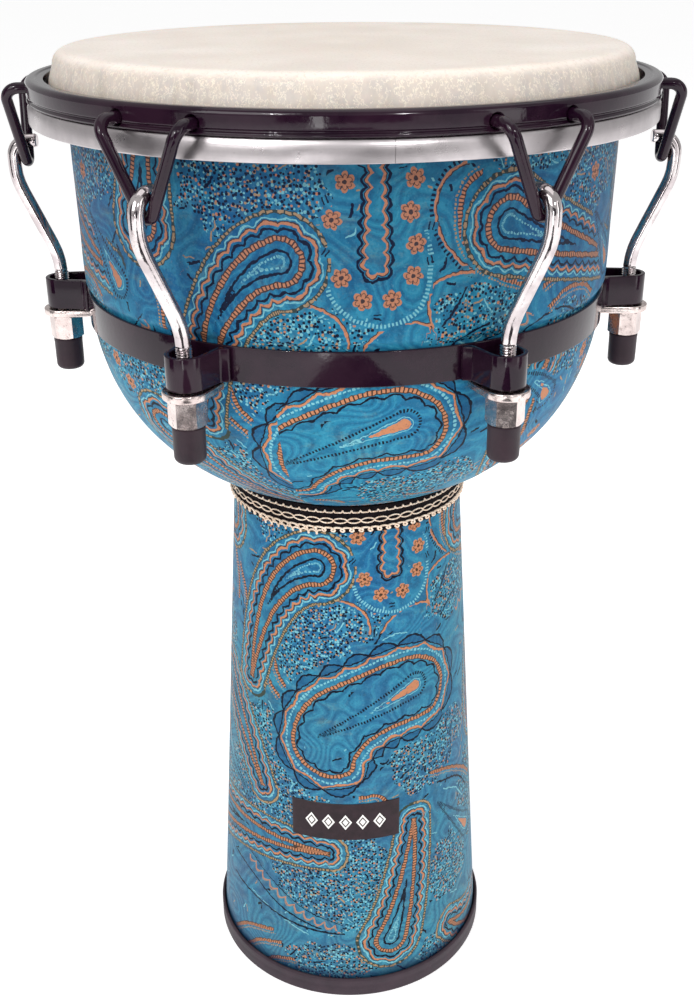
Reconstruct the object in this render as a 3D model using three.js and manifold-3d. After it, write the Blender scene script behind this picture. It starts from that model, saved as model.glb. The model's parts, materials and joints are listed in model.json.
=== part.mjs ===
// A rope-free djembe: a goblet-shaped shell under printed cloth, with a skin that six hooked
// tuning rods pull down over its rim. Millimetres, +Z up, origin on the floor under the axis.
// Azimuth 0 is the front (-Y) and grows towards +X.
import * as THREE from "three";
import { mergeVertices } from "three/addons/utils/BufferGeometryUtils.js";
import Module from "manifold-3d";

// Driving dimensions
const HEIGHT = 600;
const GAP = 0.3; // between faces that touch on the real drum
const RING_SIDES = 48;
const WIRE_SIDES = 8;

const HOOK_AZIMUTHS = [-150, -90, -30, 30, 90, 150];
const BRACKET_AZIMUTHS = [-152.2, -90, -27.8, 27.8, 90, 152.2];
const ROD_AXIS_R = 165.6;

const CLOTH = 0.7; // thickness of the glued printed cloth
const WALL = 6; // thickness of the fibreglass shell
const BOWL_TOP_R = 149.8; // outside the cloth, just below the rings
const BOWL_SHOULDER = new THREE.Vector2(148.4, 478); // where the bowl starts to turn in
const BOWL_HANDLES = [new THREE.Vector2(146.4, 413), new THREE.Vector2(119.8, 379)];
const WAIST = new THREE.Vector2(72, 356.4); // foot of the bowl's curve
const STEM_TOP = new THREE.Vector2(69.6, 355.4);
const STEM_FOOT = new THREE.Vector2(91.5, 3.8);
const CLOTH_TOP_Z = 588;
const RIM = { z: 598.1, crown: 5, fall: 6 }; // height, inset of its highest line, depth of its rounding
const INSIDE_HANDLES = [new THREE.Vector2(110, 388), new THREE.Vector2(139, 420)];
const INSIDE_SHOULDER = new THREE.Vector2(139, 476.8);

const BELT = { r: 148, thick: 1.7, low: 454.8, high: 472.8 };
const BRACKET = { nose: 175, width: 20, strap: 2.4, low: 455.2, high: 472.4 };
const BRACKET_ENDS = { flare: 15, flange: 1.6, spread: 1.4 };

const WASHER = { nose: 177.7, width: 23.4, low: 450.4, high: 454.4, bore: 4.4 };
const NUT = { flats: 16.8, low: 436.2, high: 450.1, bore: 4.2 };
const CAP = { r: 8.3, footR: 7.2, taper: 0.3, edge: 2, low: 416.8, high: 435.9, bore: 4.8, floor: 4.2 };
const ROD = { r: 3.8, foot: 425, elbow: 477, shoulder: 521, outR: 185.2, hookZ: 549.2, tipR: 171.4 };
const HOOK = { r: 3, azimuth: 7.05, endR: 162.6, outR: 182.5, eyeZ: 579.6, vertexR: 177.2, vertexZ: 532.8 };
const HOOK_HOLE = { r: 3.5, floorR: 162.2 };

const FLESH_HOOP = { inner: 159, r: 170, low: 564, shoulder: 572, high: 574.5, bevel: 1.4 };
const COUNTERHOOP = { inner: 160.4, r: 170, low: 574.8, high: 586.6, round: 2.6 };
const SKIN = { thick: 1.6, flatR: 147.5, cornerR: 7.8 };
const SKIRT = { kneeR: 157.8, kneeZ: 584, footR: 158.6, footZ: 565 };
const TRIM = { inner: 70.9, r: 72.9, low: 339, high: 356, edge: 0.8 };
const FOOT = { r: 93.7, inner: 83, floor: 3, high: 14.4, edge: 1 };
const BADGE = { width: 70, height: 27, thick: 0.8, z: 139, azimuth: -1.7 };

const wasm = await Module();
wasm.setup();

const material = (color, roughness, metalness) =>
  new THREE.MeshStandardMaterial({ color, roughness, metalness });
const FIBREGLASS = material(0x6b5a48, 0.7, 0);
const PRINT = material(0x1e78a0, 0.35, 0);
const HIDE = material(0xe6ddcf, 0.6, 0);
const BLACK_STEEL = material(0x261d2e, 0.3, 0.5);
const ALUMINIUM = material(0xc0bcbc, 0.35, 1);
const CHROME = material(0xd8d4d4, 0.12, 1);
const BLACK_RUBBER = material(0x2c242c, 0.6, 0);
const FOOT_RUBBER = material(0x4e4046, 0.75, 0);
const BRAID = material(0xb58f5a, 0.7, 0.2);
const LABEL = material(0x17161a, 0.4, 0);

const root = new THREE.Group();
const v2 = (x, y) => new THREE.Vector2(x, y);
const radians = THREE.MathUtils.degToRad;

function addMesh(parent, name, geometry, meshMaterial) {
  const mesh = new THREE.Mesh(geometry, meshMaterial);
  mesh.name = name;
  parent.add(mesh);
  return mesh;
}

// ---- Turned parts ----

// Turns a closed outline of (radius, height) points about Z. Outlines run anticlockwise.
function turned(outline, sides = RING_SIDES) {
  return new THREE.LatheGeometry([...outline, outline[0]], sides).rotateX(Math.PI / 2);
}

// Turns an outline that starts and ends on the axis.
function turnedSolid(outline, sides = RING_SIDES) {
  return new THREE.LatheGeometry(outline, sides).rotateX(Math.PI / 2);
}

// Moves an open outline sideways by distance, keeping each stretch parallel to itself.
function offset(outline, distance) {
  return outline.map((point, i) => {
    const before = outline[Math.max(i - 1, 0)];
    const after = outline[Math.min(i + 1, outline.length - 1)];
    const into = point.clone().sub(before).normalize();
    const out = after.clone().sub(point).normalize();
    if (i === 0) into.copy(out);
    if (i === outline.length - 1) out.copy(into);
    const normal = v2(into.y + out.y, -into.x - out.x).normalize();
    const stretch = normal.dot(v2(into.y, -into.x));
    return point.clone().addScaledVector(normal, distance / stretch);
  });
}

// The cloth's outer face on the bowl, from the waist up. A flat seat holds the belt.
function bowlFace() {
  const curve = new THREE.CubicBezierCurve(WAIST, BOWL_HANDLES[1], BOWL_HANDLES[0], BOWL_SHOULDER);
  const seatR = BELT.r - BELT.thick - GAP;
  const underBelt = curve.getPoints(9).filter((p) => p.y < BELT.low - 2);
  return [
    ...underBelt,
    v2(seatR, BELT.low - 1),
    v2(seatR, BELT.high + 1),
    BOWL_SHOULDER,
    v2(149.1, 510),
    v2(BOWL_TOP_R, 552),
    v2(BOWL_TOP_R, CLOTH_TOP_Z),
  ];
}

const stemFace = () => [STEM_FOOT, STEM_TOP];

// A thin closed sheet whose outer face is the given outline.
function sheet(face) {
  return turned([...face, ...offset(face, -CLOTH).reverse()]);
}

// One moulded fibreglass goblet: bowl, waist and stem, open at both ends.
function shell() {
  const bowl = offset(bowlFace(), -CLOTH - GAP);
  const stem = offset(stemFace(), -CLOTH - GAP);
  const stemInside = offset(stemFace(), -CLOTH - GAP - WALL);
  const throat = v2(stemInside[1].x, WAIST.y + 4);
  const inside = new THREE.CubicBezierCurve(throat, ...INSIDE_HANDLES, INSIDE_SHOULDER);
  const outerR = bowl.at(-1).x;
  const rim = [
    v2(outerR, RIM.z - RIM.fall),
    v2(outerR - RIM.crown / 2, RIM.z - RIM.fall / 5),
    v2(outerR - RIM.crown, RIM.z),
    v2(outerR - WALL, RIM.z - RIM.fall / 3),
  ];
  return turned([...stem, ...bowl, ...rim, ...inside.getPoints(7).reverse(), stemInside[0]]);
}

function waistTrim() {
  const { inner, r, low, high, edge } = TRIM;
  return turned([
    v2(inner, low),
    v2(r - edge, low),
    v2(r, low + edge),
    v2(r, high - edge),
    v2(r - edge, high),
    v2(inner, high),
  ]);
}

// The rubber ring that the drum stands on: an upright lip and a floor under the shell's edge.
function rubberFoot() {
  const { r, inner, floor, high, edge } = FOOT;
  const lipR = STEM_FOOT.x + GAP;
  return turned([
    v2(inner, 0),
    v2(r - edge, 0),
    v2(r, edge),
    v2(r, high - edge),
    v2(r - edge, high),
    v2(lipR, high),
    v2(lipR, floor),
    v2(inner, floor),
  ]);
}

function lugBelt() {
  const { r, thick, low, high } = BELT;
  return turned([v2(r - thick, low), v2(r, low), v2(r, high), v2(r - thick, high)]);
}

function fleshHoop() {
  const { inner, r, low, shoulder, high, bevel } = FLESH_HOOP;
  return turned([v2(inner, low), v2(r, low), v2(r, shoulder), v2(r - bevel, high), v2(inner, high)]);
}

// The skin: flat playing face, rounded corner and a skirt held by the flesh hoop.
function drumhead() {
  const { thick, flatR, cornerR } = SKIN;
  const face = (inset) => {
    const corner = [0, 30, 60, 90].map((degrees) => {
      const angle = radians(degrees);
      const reach = cornerR - inset;
      return v2(flatR + reach * Math.sin(angle), HEIGHT - cornerR + reach * Math.cos(angle));
    });
    return [...corner, v2(SKIRT.kneeR - inset, SKIRT.kneeZ), v2(SKIRT.footR - inset, SKIRT.footZ)];
  };
  return turnedSolid([v2(0, HEIGHT - thick), ...face(thick), ...face(0).reverse(), v2(0, HEIGHT)]);
}

// ---- Booleans ----

function toSolid(geometry) {
  const bare = geometry.clone().deleteAttribute("normal").deleteAttribute("uv");
  const merged = mergeVertices(bare, 1e-3);
  return new wasm.Manifold(
    new wasm.Mesh({
      numProp: 3,
      vertProperties: new Float32Array(merged.attributes.position.array),
      triVerts: new Uint32Array(merged.index.array),
    }),
  );
}

function toGeometry(solid) {
  const { vertProperties, triVerts } = solid.getMesh();
  return new THREE.BufferGeometry()
    .setAttribute("position", new THREE.BufferAttribute(vertProperties, 3))
    .setIndex(new THREE.BufferAttribute(triVerts, 1));
}

function cut(geometry, cutters) {
  return toGeometry(cutters.reduce((solid, cutter) => solid.subtract(toSolid(cutter)), toSolid(geometry)));
}

// The black pressure ring, with two blind holes for each V-hook.
function counterhoop() {
  const { inner, r, low, high, round } = COUNTERHOOP;
  const ring = turned([
    v2(inner, low),
    v2(r, low),
    v2(r, high - round),
    v2(r - round * 0.3, high - round * 0.3),
    v2(r - round, high),
    v2(inner, high),
  ]);
  const length = 1.5 * (r - HOOK_HOLE.floorR);
  const holes = HOOK_AZIMUTHS.flatMap((azimuth) =>
    [-HOOK.azimuth, HOOK.azimuth].map((side) =>
      new THREE.CylinderGeometry(HOOK_HOLE.r, HOOK_HOLE.r, length, 10)
        .translate(0, -HOOK_HOLE.floorR - length / 2, HOOK.eyeZ)
        .rotateZ(radians(azimuth + side)),
    ),
  );
  return cut(ring, holes);
}

// ---- Bent wire ----

// The centre line of a bent wire: straight runs with a round bend at each inner corner.
class BentWire extends THREE.Curve {
  constructor(corners, bendRadii, bendSteps = 3) {
    super();
    this.stations = [corners[0]];
    bendRadii.forEach((radius, i) => this.addBend(corners.slice(i, i + 3), radius, bendSteps));
    this.stations.push(corners.at(-1));
  }

  addBend([before, corner, after], radius, steps) {
    const back = before.clone().sub(corner).normalize();
    const ahead = after.clone().sub(corner).normalize();
    const half = back.angleTo(ahead) / 2;
    const centre = back.clone().add(ahead).setLength(radius / Math.sin(half)).add(corner);
    const from = back.clone().multiplyScalar(radius / Math.tan(half)).add(corner).sub(centre);
    const axis = ahead.clone().cross(back).normalize();
    const sweep = -(Math.PI - 2 * half);
    for (let i = 0; i <= steps; i++) {
      const spoke = from.clone().applyAxisAngle(axis, (sweep * -i) / steps);
      this.stations.push(spoke.add(centre));
    }
  }

  get steps() {
    return this.stations.length - 1;
  }

  getUtoTmapping(u) {
    return u;
  }

  getPoint(t, target = new THREE.Vector3()) {
    const place = Math.min(Math.max(t, 0), 1) * this.steps;
    const i = Math.min(Math.floor(place), this.steps - 1);
    return target.lerpVectors(this.stations[i], this.stations[i + 1], place - i);
  }

  getTangent(t, target = new THREE.Vector3()) {
    const i = Math.round(t * this.steps);
    const run = (j) => this.stations[j + 1].clone().sub(this.stations[j]).normalize();
    const before = run(Math.max(i - 1, 0));
    const after = run(Math.min(i, this.steps - 1));
    return target.addVectors(before, after).normalize();
  }
}

function wire(path, radius) {
  const section = new THREE.Shape(
    Array.from({ length: WIRE_SIDES }, (_, i) => {
      const angle = (2 * Math.PI * i) / WIRE_SIDES;
      return v2(radius * Math.cos(angle), radius * Math.sin(angle));
    }),
  );
  return new THREE.ExtrudeGeometry(section, { steps: path.steps, extrudePath: path });
}

// ---- One lug, drawn at the front: x is sideways, y is minus the radius ----

// The rod stands in its bracket; twist is how far round its hook sits, in degrees.
function tuningRod(twist) {
  const at = (degrees, r, z) => new THREE.Vector3(r * Math.sin(radians(degrees)), -r * Math.cos(radians(degrees)), z);
  const corners = [
    at(0, ROD_AXIS_R, ROD.foot),
    at(0, ROD_AXIS_R, ROD.elbow),
    at(twist, ROD.outR, ROD.shoulder),
    at(twist, ROD.outR, ROD.hookZ),
    at(twist, ROD.tipR, ROD.hookZ),
  ];
  return wire(new BentWire(corners, [40, 34, 9]), ROD.r);
}

// The V-hook: its two ends sit in the counterhoop, and its point hangs over the rod's hook.
function vHook() {
  const spoke = (side, r) => {
    const angle = radians(side * HOOK.azimuth);
    return new THREE.Vector3(r * Math.sin(angle), -r * Math.cos(angle), HOOK.eyeZ);
  };
  const corners = [
    spoke(-1, HOOK.endR),
    spoke(-1, HOOK.outR),
    new THREE.Vector3(0, -HOOK.vertexR, HOOK.vertexZ),
    spoke(1, HOOK.outR),
    spoke(1, HOOK.endR),
  ];
  return wire(new BentWire(corners, [6.5, 4, 6.5]), HOOK.r);
}

function extruded(outline, low, high, holes = []) {
  const shape = new THREE.Shape(outline);
  shape.holes = holes;
  const options = { depth: high - low, bevelEnabled: false, curveSegments: 5 };
  return new THREE.ExtrudeGeometry(shape, options).translate(0, 0, low);
}

const circleHole = (x, y, r) => new THREE.Path().absarc(x, y, r, 0, 2 * Math.PI, true);

// One side of a U round the rod, from where its straight leg ends to just short of the nose.
function noseArc(nose, width) {
  const r = width / 2;
  return [90, 60, 30].map((degrees) => {
    const angle = radians(degrees);
    return v2(r * Math.sin(angle), -nose + r - r * Math.cos(angle));
  });
}

// Carries the right side of an outline round its nose and back up the left side.
function bothSides(side, nose) {
  return [...side, v2(0, -nose), ...side.map((p) => v2(-p.x, p.y)).reverse()];
}

// A strap bent round the rod and welded to the belt by its two turned-out ends.
function lugBracket() {
  const { nose, width, strap, low, high } = BRACKET;
  const { flare, flange, spread } = BRACKET_ENDS;
  const seat = -(BELT.r + GAP);
  const legX = width / 2 + spread;
  const outer = [
    v2(flare, seat),
    v2(flare, seat - flange),
    v2(legX, seat - 2.5 * flange),
    ...noseArc(nose, width),
  ];
  const inner = [v2(legX - strap, seat), ...noseArc(nose - strap, width - 2 * strap)];
  return extruded([...bothSides(outer, nose), ...bothSides(inner, nose - strap).reverse()], low, high);
}

// A chrome U-plate under the bracket; the rod passes through it.
function lugWasher() {
  const { nose, width, low, high, bore } = WASHER;
  const side = [v2(width / 2 - 1, -(BELT.r + GAP)), ...noseArc(nose, width)];
  const outline = bothSides(side, nose).reverse();
  return extruded(outline, low, high, [circleHole(0, -ROD_AXIS_R, bore)]);
}

function tuningNut() {
  const corner = NUT.flats / Math.sqrt(3);
  const hexagon = Array.from({ length: 6 }, (_, i) => {
    const angle = (Math.PI * i) / 3;
    return v2(corner * Math.cos(angle), -ROD_AXIS_R + corner * Math.sin(angle));
  });
  return extruded(hexagon, NUT.low, NUT.high, [circleHole(0, -ROD_AXIS_R, NUT.bore)]);
}

function nutCap() {
  const { r, footR, taper, edge, low, high, bore, floor } = CAP;
  const outline = [
    v2(0, low),
    v2(footR, low),
    v2(r - taper, low + edge),
    v2(r, high),
    v2(bore, high),
    v2(bore, low + floor),
    v2(0, low + floor),
  ];
  return turnedSolid(outline, 12).translate(0, -ROD_AXIS_R, 0);
}

// ---- Badge ----

// A thin label that lies on the tapered stem.
function badge() {
  const { width, height, thick, z, azimuth } = BADGE;
  const slope = (STEM_FOOT.x - STEM_TOP.x) / (STEM_TOP.y - STEM_FOOT.y);
  const stemR = (h) => STEM_FOOT.x - slope * (h - STEM_FOOT.y);
  const r = stemR(z) + GAP;
  const half = width / 2 / r;
  const arc = (radius, from, to) =>
    Array.from({ length: 9 }, (_, i) => {
      const angle = from + ((to - from) * i) / 8;
      return v2(radius * Math.sin(angle), -radius * Math.cos(angle));
    });
  const outline = [...arc(r, half, -half), ...arc(r + thick, -half, half)];
  const plate = extruded(outline, z - height / 2, z + height / 2);
  const position = plate.getAttribute("position");
  for (let i = 0; i < position.count; i++) {
    const taper = (stemR(position.getZ(i)) + GAP) / r;
    position.setX(i, position.getX(i) * taper);
    position.setY(i, position.getY(i) * taper);
  }
  return plate.rotateZ(radians(azimuth));
}

// ---- Assembly ----

addMesh(root, "shell", shell(), FIBREGLASS);
addMesh(root, "bowl_cloth", sheet(bowlFace()), PRINT);
addMesh(root, "stem_cloth", sheet(stemFace()), PRINT);
addMesh(root, "waist_trim", waistTrim(), BRAID);
addMesh(root, "rubber_foot", rubberFoot(), FOOT_RUBBER);
addMesh(root, "badge", badge(), LABEL);
addMesh(root, "lug_belt", lugBelt(), BLACK_STEEL);
addMesh(root, "drumhead", drumhead(), HIDE);
addMesh(root, "flesh_hoop", fleshHoop(), ALUMINIUM);
addMesh(root, "counterhoop", counterhoop(), BLACK_STEEL);

HOOK_AZIMUTHS.forEach((azimuth, i) => {
  const [lug, hook] = [new THREE.Group(), new THREE.Group()];
  lug.rotation.z = radians(BRACKET_AZIMUTHS[i]);
  hook.rotation.z = radians(azimuth);
  const number = i + 1;
  addMesh(lug, `lug_bracket_${number}`, lugBracket(), BLACK_STEEL);
  addMesh(lug, `lug_washer_${number}`, lugWasher(), CHROME);
  addMesh(lug, `tuning_nut_${number}`, tuningNut(), CHROME);
  addMesh(lug, `nut_cap_${number}`, nutCap(), BLACK_RUBBER);
  addMesh(lug, `tuning_rod_${number}`, tuningRod(azimuth - BRACKET_AZIMUTHS[i]), CHROME);
  addMesh(hook, `v_hook_${number}`, vHook(), BLACK_STEEL);
  root.add(lug, hook);
});

export default root;
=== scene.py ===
"""Looks of a djembe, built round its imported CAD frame.

Metres, z up. Azimuth 0 is the front (-Y) and grows towards +X. The print on the cloths is laid out in millimetres.
"""
import json
import math

import bpy
import numpy as np
from mathutils import Matrix, Vector
from mathutils.geometry import tessellate_polygon


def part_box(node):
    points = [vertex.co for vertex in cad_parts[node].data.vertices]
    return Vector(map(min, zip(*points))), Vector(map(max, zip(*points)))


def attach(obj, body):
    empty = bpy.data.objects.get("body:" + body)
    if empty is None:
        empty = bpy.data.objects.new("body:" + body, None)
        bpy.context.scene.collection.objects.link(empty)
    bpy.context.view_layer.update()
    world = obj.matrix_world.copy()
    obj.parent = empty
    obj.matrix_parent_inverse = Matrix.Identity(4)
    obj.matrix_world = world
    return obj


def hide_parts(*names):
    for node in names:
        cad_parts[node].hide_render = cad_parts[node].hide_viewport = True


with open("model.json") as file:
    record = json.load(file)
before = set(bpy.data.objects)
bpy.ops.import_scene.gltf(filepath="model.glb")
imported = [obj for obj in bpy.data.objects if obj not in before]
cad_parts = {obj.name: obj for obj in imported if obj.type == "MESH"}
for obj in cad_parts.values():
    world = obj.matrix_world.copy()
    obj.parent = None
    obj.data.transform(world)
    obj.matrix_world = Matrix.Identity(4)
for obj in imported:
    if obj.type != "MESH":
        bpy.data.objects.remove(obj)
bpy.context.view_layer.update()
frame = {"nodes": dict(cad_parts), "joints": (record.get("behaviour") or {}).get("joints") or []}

MM = 0.001
TURN = 2 * math.pi
SMOOTH_ANGLE = math.radians(35)
CORNER = math.radians(32)
ON_AXIS = 1e-5
rng = np.random.default_rng(7)

# Lugs, from the nuts' joints
NUTS = [j for j in frame["joints"] if j["name"].startswith("nut_turn_")]
AXIS_R = math.hypot(*NUTS[0]["pos_m"][:2])
LUGS = {j["name"].split("_")[-1]: math.atan2(j["pos_m"][0], -j["pos_m"][1]) for j in NUTS}


def azimuth_of(node):
    """The azimuth of the middle of a node."""
    found = [math.atan2(v.co.x, -v.co.y) for v in frame["nodes"][node].data.vertices]
    return (min(found) + max(found)) / 2


HOOKS = {number: azimuth_of(f"v_hook_{number}") for number in LUGS}

# Bent wires, as (radius, height) corners in millimetres, with the radius of each bend
ROD_CORNERS = [(AXIS_R / MM, 425), (AXIS_R / MM, 484), (185.2, 528), (185.2, 549.2), (171.4, 549.2)]
ROD_TWISTED = 2  # corners from here on stand at the hook's azimuth
ROD_BENDS = [40, 34, 9]
ROD_R = 3.8
THREAD = {"pitch": 1.25, "crest": 4.1, "root": 3.3, "top": 476.5}
HOOK_R = 3.0
HOOK_SPREAD = math.radians(7.05)
HOOK_END, HOOK_OUT, HOOK_EYE_Z = 162.6, 182.5, 579.6
HOOK_POINT = (177.2, 532.8)
HOOK_BENDS = [6.5, 4, 6.5]
HOOK_HOLE_R, HOOK_HOLE_FLOOR = 3.5, 162.2

# Lug hardware seen from above, in millimetres
BRACKET = {"nose": 175.0, "width": 20, "strap": 2.4, "flare": 15, "flange": 1.6, "spread": 1.4}
WASHER = {"nose": 177.7, "width": 23.4, "bore": 4.4}
NUT = {"flats": 16.8, "bore": 4.15, "chamfer": 0.55}
SEAT_R = 148.3

CLOTH_STEP = 1.75
BOWL_COLUMNS, STEM_COLUMNS, HEAD_COLUMNS = 564, 336, 720


# ---- Reading the frame ----

def heights(node):
    """The lowest and highest z of a node, in millimetres."""
    low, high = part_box(node)
    return low.z / MM, high.z / MM


def reach_of(node):
    """The largest x of a node, in millimetres."""
    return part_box(node)[1].x / MM


def welded(node):
    """The corner points of a CAD solid, each once, and its edges."""
    mesh = frame["nodes"][node].data
    numbers, index = {}, []
    for vertex in mesh.vertices:
        key = tuple(round(c, 6) for c in vertex.co)
        index.append(numbers.setdefault(key, len(numbers)))
    edges = {tuple(sorted((index[e.vertices[0]], index[e.vertices[1]]))) for e in mesh.edges}
    return np.array(list(numbers)), [e for e in edges if e[0] != e[1]]


def walk(links, start):
    """The points met on the way along a chain or round a loop of links."""
    order, last, here = [start], None, start
    while True:
        ahead = [i for i in links[here] if i != last and i not in order[1:]]
        if not ahead or ahead[0] == start and len(order) > 2:
            return order
        last, here = here, ahead[0]
        order.append(here)


def section(node):
    """The outline of a turned CAD solid as (radius, height) rows, anticlockwise."""
    points, edges = welded(node)
    radius = np.hypot(points[:, 0], points[:, 1])
    azimuth = np.round(np.degrees(np.arctan2(points[:, 0], -points[:, 1])), 1)
    best = []
    for column in np.unique(azimuth[radius > ON_AXIS]):
        inside = (np.abs(azimuth - column) < 0.15) | (radius < ON_AXIS)
        links = {i: [] for i in np.flatnonzero(inside)}
        for a, b in edges:
            if inside[a] and inside[b]:
                links[a].append(b)
                links[b].append(a)
        ends = [i for i in links if len(links[i]) == 1]
        if any(len(v) > 2 or not v for v in links.values()) or len(ends) not in (0, 2):
            continue
        order = walk(links, ends[0] if ends else next(iter(links)))
        if len(order) > len(best):
            best = order
    return anticlockwise(np.stack([radius[best], points[best, 2]], axis=1))


def area(outline):
    x, y = outline[:, 0], outline[:, 1]
    return float(np.sum(x * np.roll(y, -1) - y * np.roll(x, -1)) / 2)


def anticlockwise(outline):
    return outline if area(outline) > 0 else outline[::-1]


# ---- Outlines ----

def length(rows):
    """The length of a vector, or of each row."""
    return np.linalg.norm(rows, axis=-1)


def unit(rows):
    return rows / length(rows)[..., None]


def run_along(line):
    """The distance along a line at each of its points."""
    return np.concatenate([[0], np.cumsum(length(np.diff(line, axis=0)))])


def turning(outline):
    """How far a closed outline turns at each of its points, in radians."""
    into = outline - np.roll(outline, 1, axis=0)
    out = np.roll(outline, -1, axis=0) - outline
    cross = into[:, 0] * out[:, 1] - into[:, 1] * out[:, 0]
    return np.arctan2(cross, (into * out).sum(axis=1))


def curve_through(p0, p1, p2, p3, steps):
    """A smooth stretch from p1 to p2 that heads the way p0 and p3 say."""
    reach = length(p2 - p1)
    before, after = length(p1 - p0), length(p3 - p2)
    start = (p2 - p0) * reach / (reach + before)
    end = (p3 - p1) * reach / (reach + after)
    t = (np.arange(steps) / steps)[:, None]
    return ((2 * t**3 - 3 * t**2 + 1) * p1 + (t**3 - 2 * t**2 + t) * start
            + (3 * t**2 - 2 * t**3) * p2 + (t**3 - t**2) * end)


def refined(outline, step, corner=CORNER, closed=True):
    """The outline with points every step, its gentle turns made smooth and its corners kept."""
    turn = np.abs(turning(outline))
    n, out = len(outline), []
    if not closed:
        turn[[0, -1]] = math.pi
    for i in range(n if closed else n - 1):
        p0, p1, p2, p3 = (outline[(i + k) % n] for k in (-1, 0, 1, 2))
        if turn[i] > corner:
            p0 = 2 * p1 - p2
        if turn[(i + 1) % n] > corner:
            p3 = 2 * p2 - p1
        steps = max(1, math.ceil(length(p2 - p1) / step))
        out.append(curve_through(p0, p1, p2, p3, steps))
    if not closed:
        out.append(outline[-1:])
    return np.concatenate(out)


def rounded(outline, radius, corner=CORNER, steps=4):
    """The outline with each sharp corner replaced by a small arc."""
    turn = turning(outline)
    n, out = len(outline), []
    for i in range(n):
        here, before, after = outline[i], outline[i - 1], outline[(i + 1) % n]
        if abs(turn[i]) < corner or here[0] < ON_AXIS:
            out.append(here[None])
            continue
        back, ahead = before - here, after - here
        cut = min(radius, 0.45 * length(back), 0.45 * length(ahead))
        a, b = here + unit(back) * cut, here + unit(ahead) * cut
        t = np.linspace(0, 1, steps + 1)[:, None]
        out.append((1 - t) ** 2 * a + 2 * t * (1 - t) * here + t**2 * b)
    return np.concatenate(out)


def edge_normals(outline):
    """The outward direction at each point of an anticlockwise outline, long enough to keep sides parallel."""
    ahead = unit(np.roll(outline, -1, axis=0) - outline)
    sides = np.stack([ahead[:, 1], -ahead[:, 0]], axis=1)
    both = unit(sides + np.roll(sides, 1, axis=0))
    return both / np.maximum((both * sides).sum(axis=1), 0.5)[:, None]


def arc(centre, radius, start, end, steps):
    angles = np.radians(np.linspace(start, end, steps + 1))
    return np.stack([centre[0] + radius * np.cos(angles), centre[1] + radius * np.sin(angles)], axis=1)


# ---- Meshes ----

def stacked(*parts):
    return np.stack(np.broadcast_arrays(*parts), axis=-1)


def at_azimuth(azimuth, radius, height):
    return stacked(radius * np.sin(azimuth), -radius * np.cos(azimuth), height)


def turned_to(points, azimuth):
    """Points drawn at the front, carried round to an azimuth."""
    c, s = math.cos(azimuth), math.sin(azimuth)
    return points @ np.array([[c, s, 0], [-s, c, 0], [0, 0, 1]])


def grid_faces(rows, columns, wrap_rows=False, wrap_columns=False, first=0):
    """Quads of a grid of points numbered row by row."""
    j = np.arange(rows if wrap_rows else rows - 1)[:, None]
    i = np.arange(columns if wrap_columns else columns - 1)[None, :]
    up, right = (j + 1) % rows, (i + 1) % columns
    quads = stacked(j * columns + i, j * columns + right, up * columns + right, up * columns + i)
    return (quads.reshape(-1, 4) + first).tolist()


def placed(name, data):
    """A new object in the scene."""
    thing = bpy.data.objects.new(name, data)
    bpy.context.scene.collection.objects.link(thing)
    return thing


def new_mesh(name, points, faces):
    mesh = bpy.data.meshes.new(name)
    mesh.from_pydata(np.asarray(points).tolist(), [], faces)
    return mesh


def make_piece(name, solid, material, body, node):
    """A mesh object that rides on a body and stands for its CAD node."""
    mesh = new_mesh(name, *solid)
    mesh.polygons.foreach_set("use_smooth", [True] * len(mesh.polygons))
    mesh.set_sharp_from_angle(angle=SMOOTH_ANGLE)
    mesh.materials.append(material)
    mesh.update()
    piece = placed(name, mesh)
    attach(piece, body)
    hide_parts(node)
    return piece


def store(piece, name, domain, values):
    """Keeps three numbers for each point or corner of a piece, for its material to read."""
    attribute = piece.data.attributes.new(name, "FLOAT_VECTOR", domain)
    attribute.data.foreach_set("vector", values.astype(np.float32).ravel())


def lathe(outline, columns, push=None, start=0.0, sweep=TURN):
    """Points and faces of an anticlockwise (radius, height) outline turned about the axis.

    push(azimuth, outline) may say how far the points of a column's outline move outwards, and how far up.
    A sweep short of a full turn leaves a ring with two flat ends.
    """
    whole = sweep == TURN
    on_axis = outline[:, 0] < ON_AXIS
    ring = outline[~on_axis]
    azimuths = start + np.arange(columns) * sweep / (columns if whole else columns - 1)
    rings = [ring + (0 if push is None else stacked(*push(a, ring))) for a in azimuths]
    points = np.concatenate([at_azimuth(a, r[:, 0], r[:, 1]) for a, r in zip(azimuths, rings)])
    n = len(ring)
    faces = [face[::-1] for face in grid_faces(columns, n, whole, not on_axis.any())]
    if not whole:
        faces += [list(range(n))[::-1], list(range((columns - 1) * n, columns * n))]
    if on_axis.any():
        low, high = len(points), len(points) + 1
        points = np.concatenate([points, [[0, 0, z] for z in outline[on_axis][:, 1]]])
        for i in range(columns):
            after = (i + 1) % columns
            faces.append([low, after * n, i * n])
            faces.append([high, i * n + n - 1, after * n + n - 1])
    return points, faces


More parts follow.
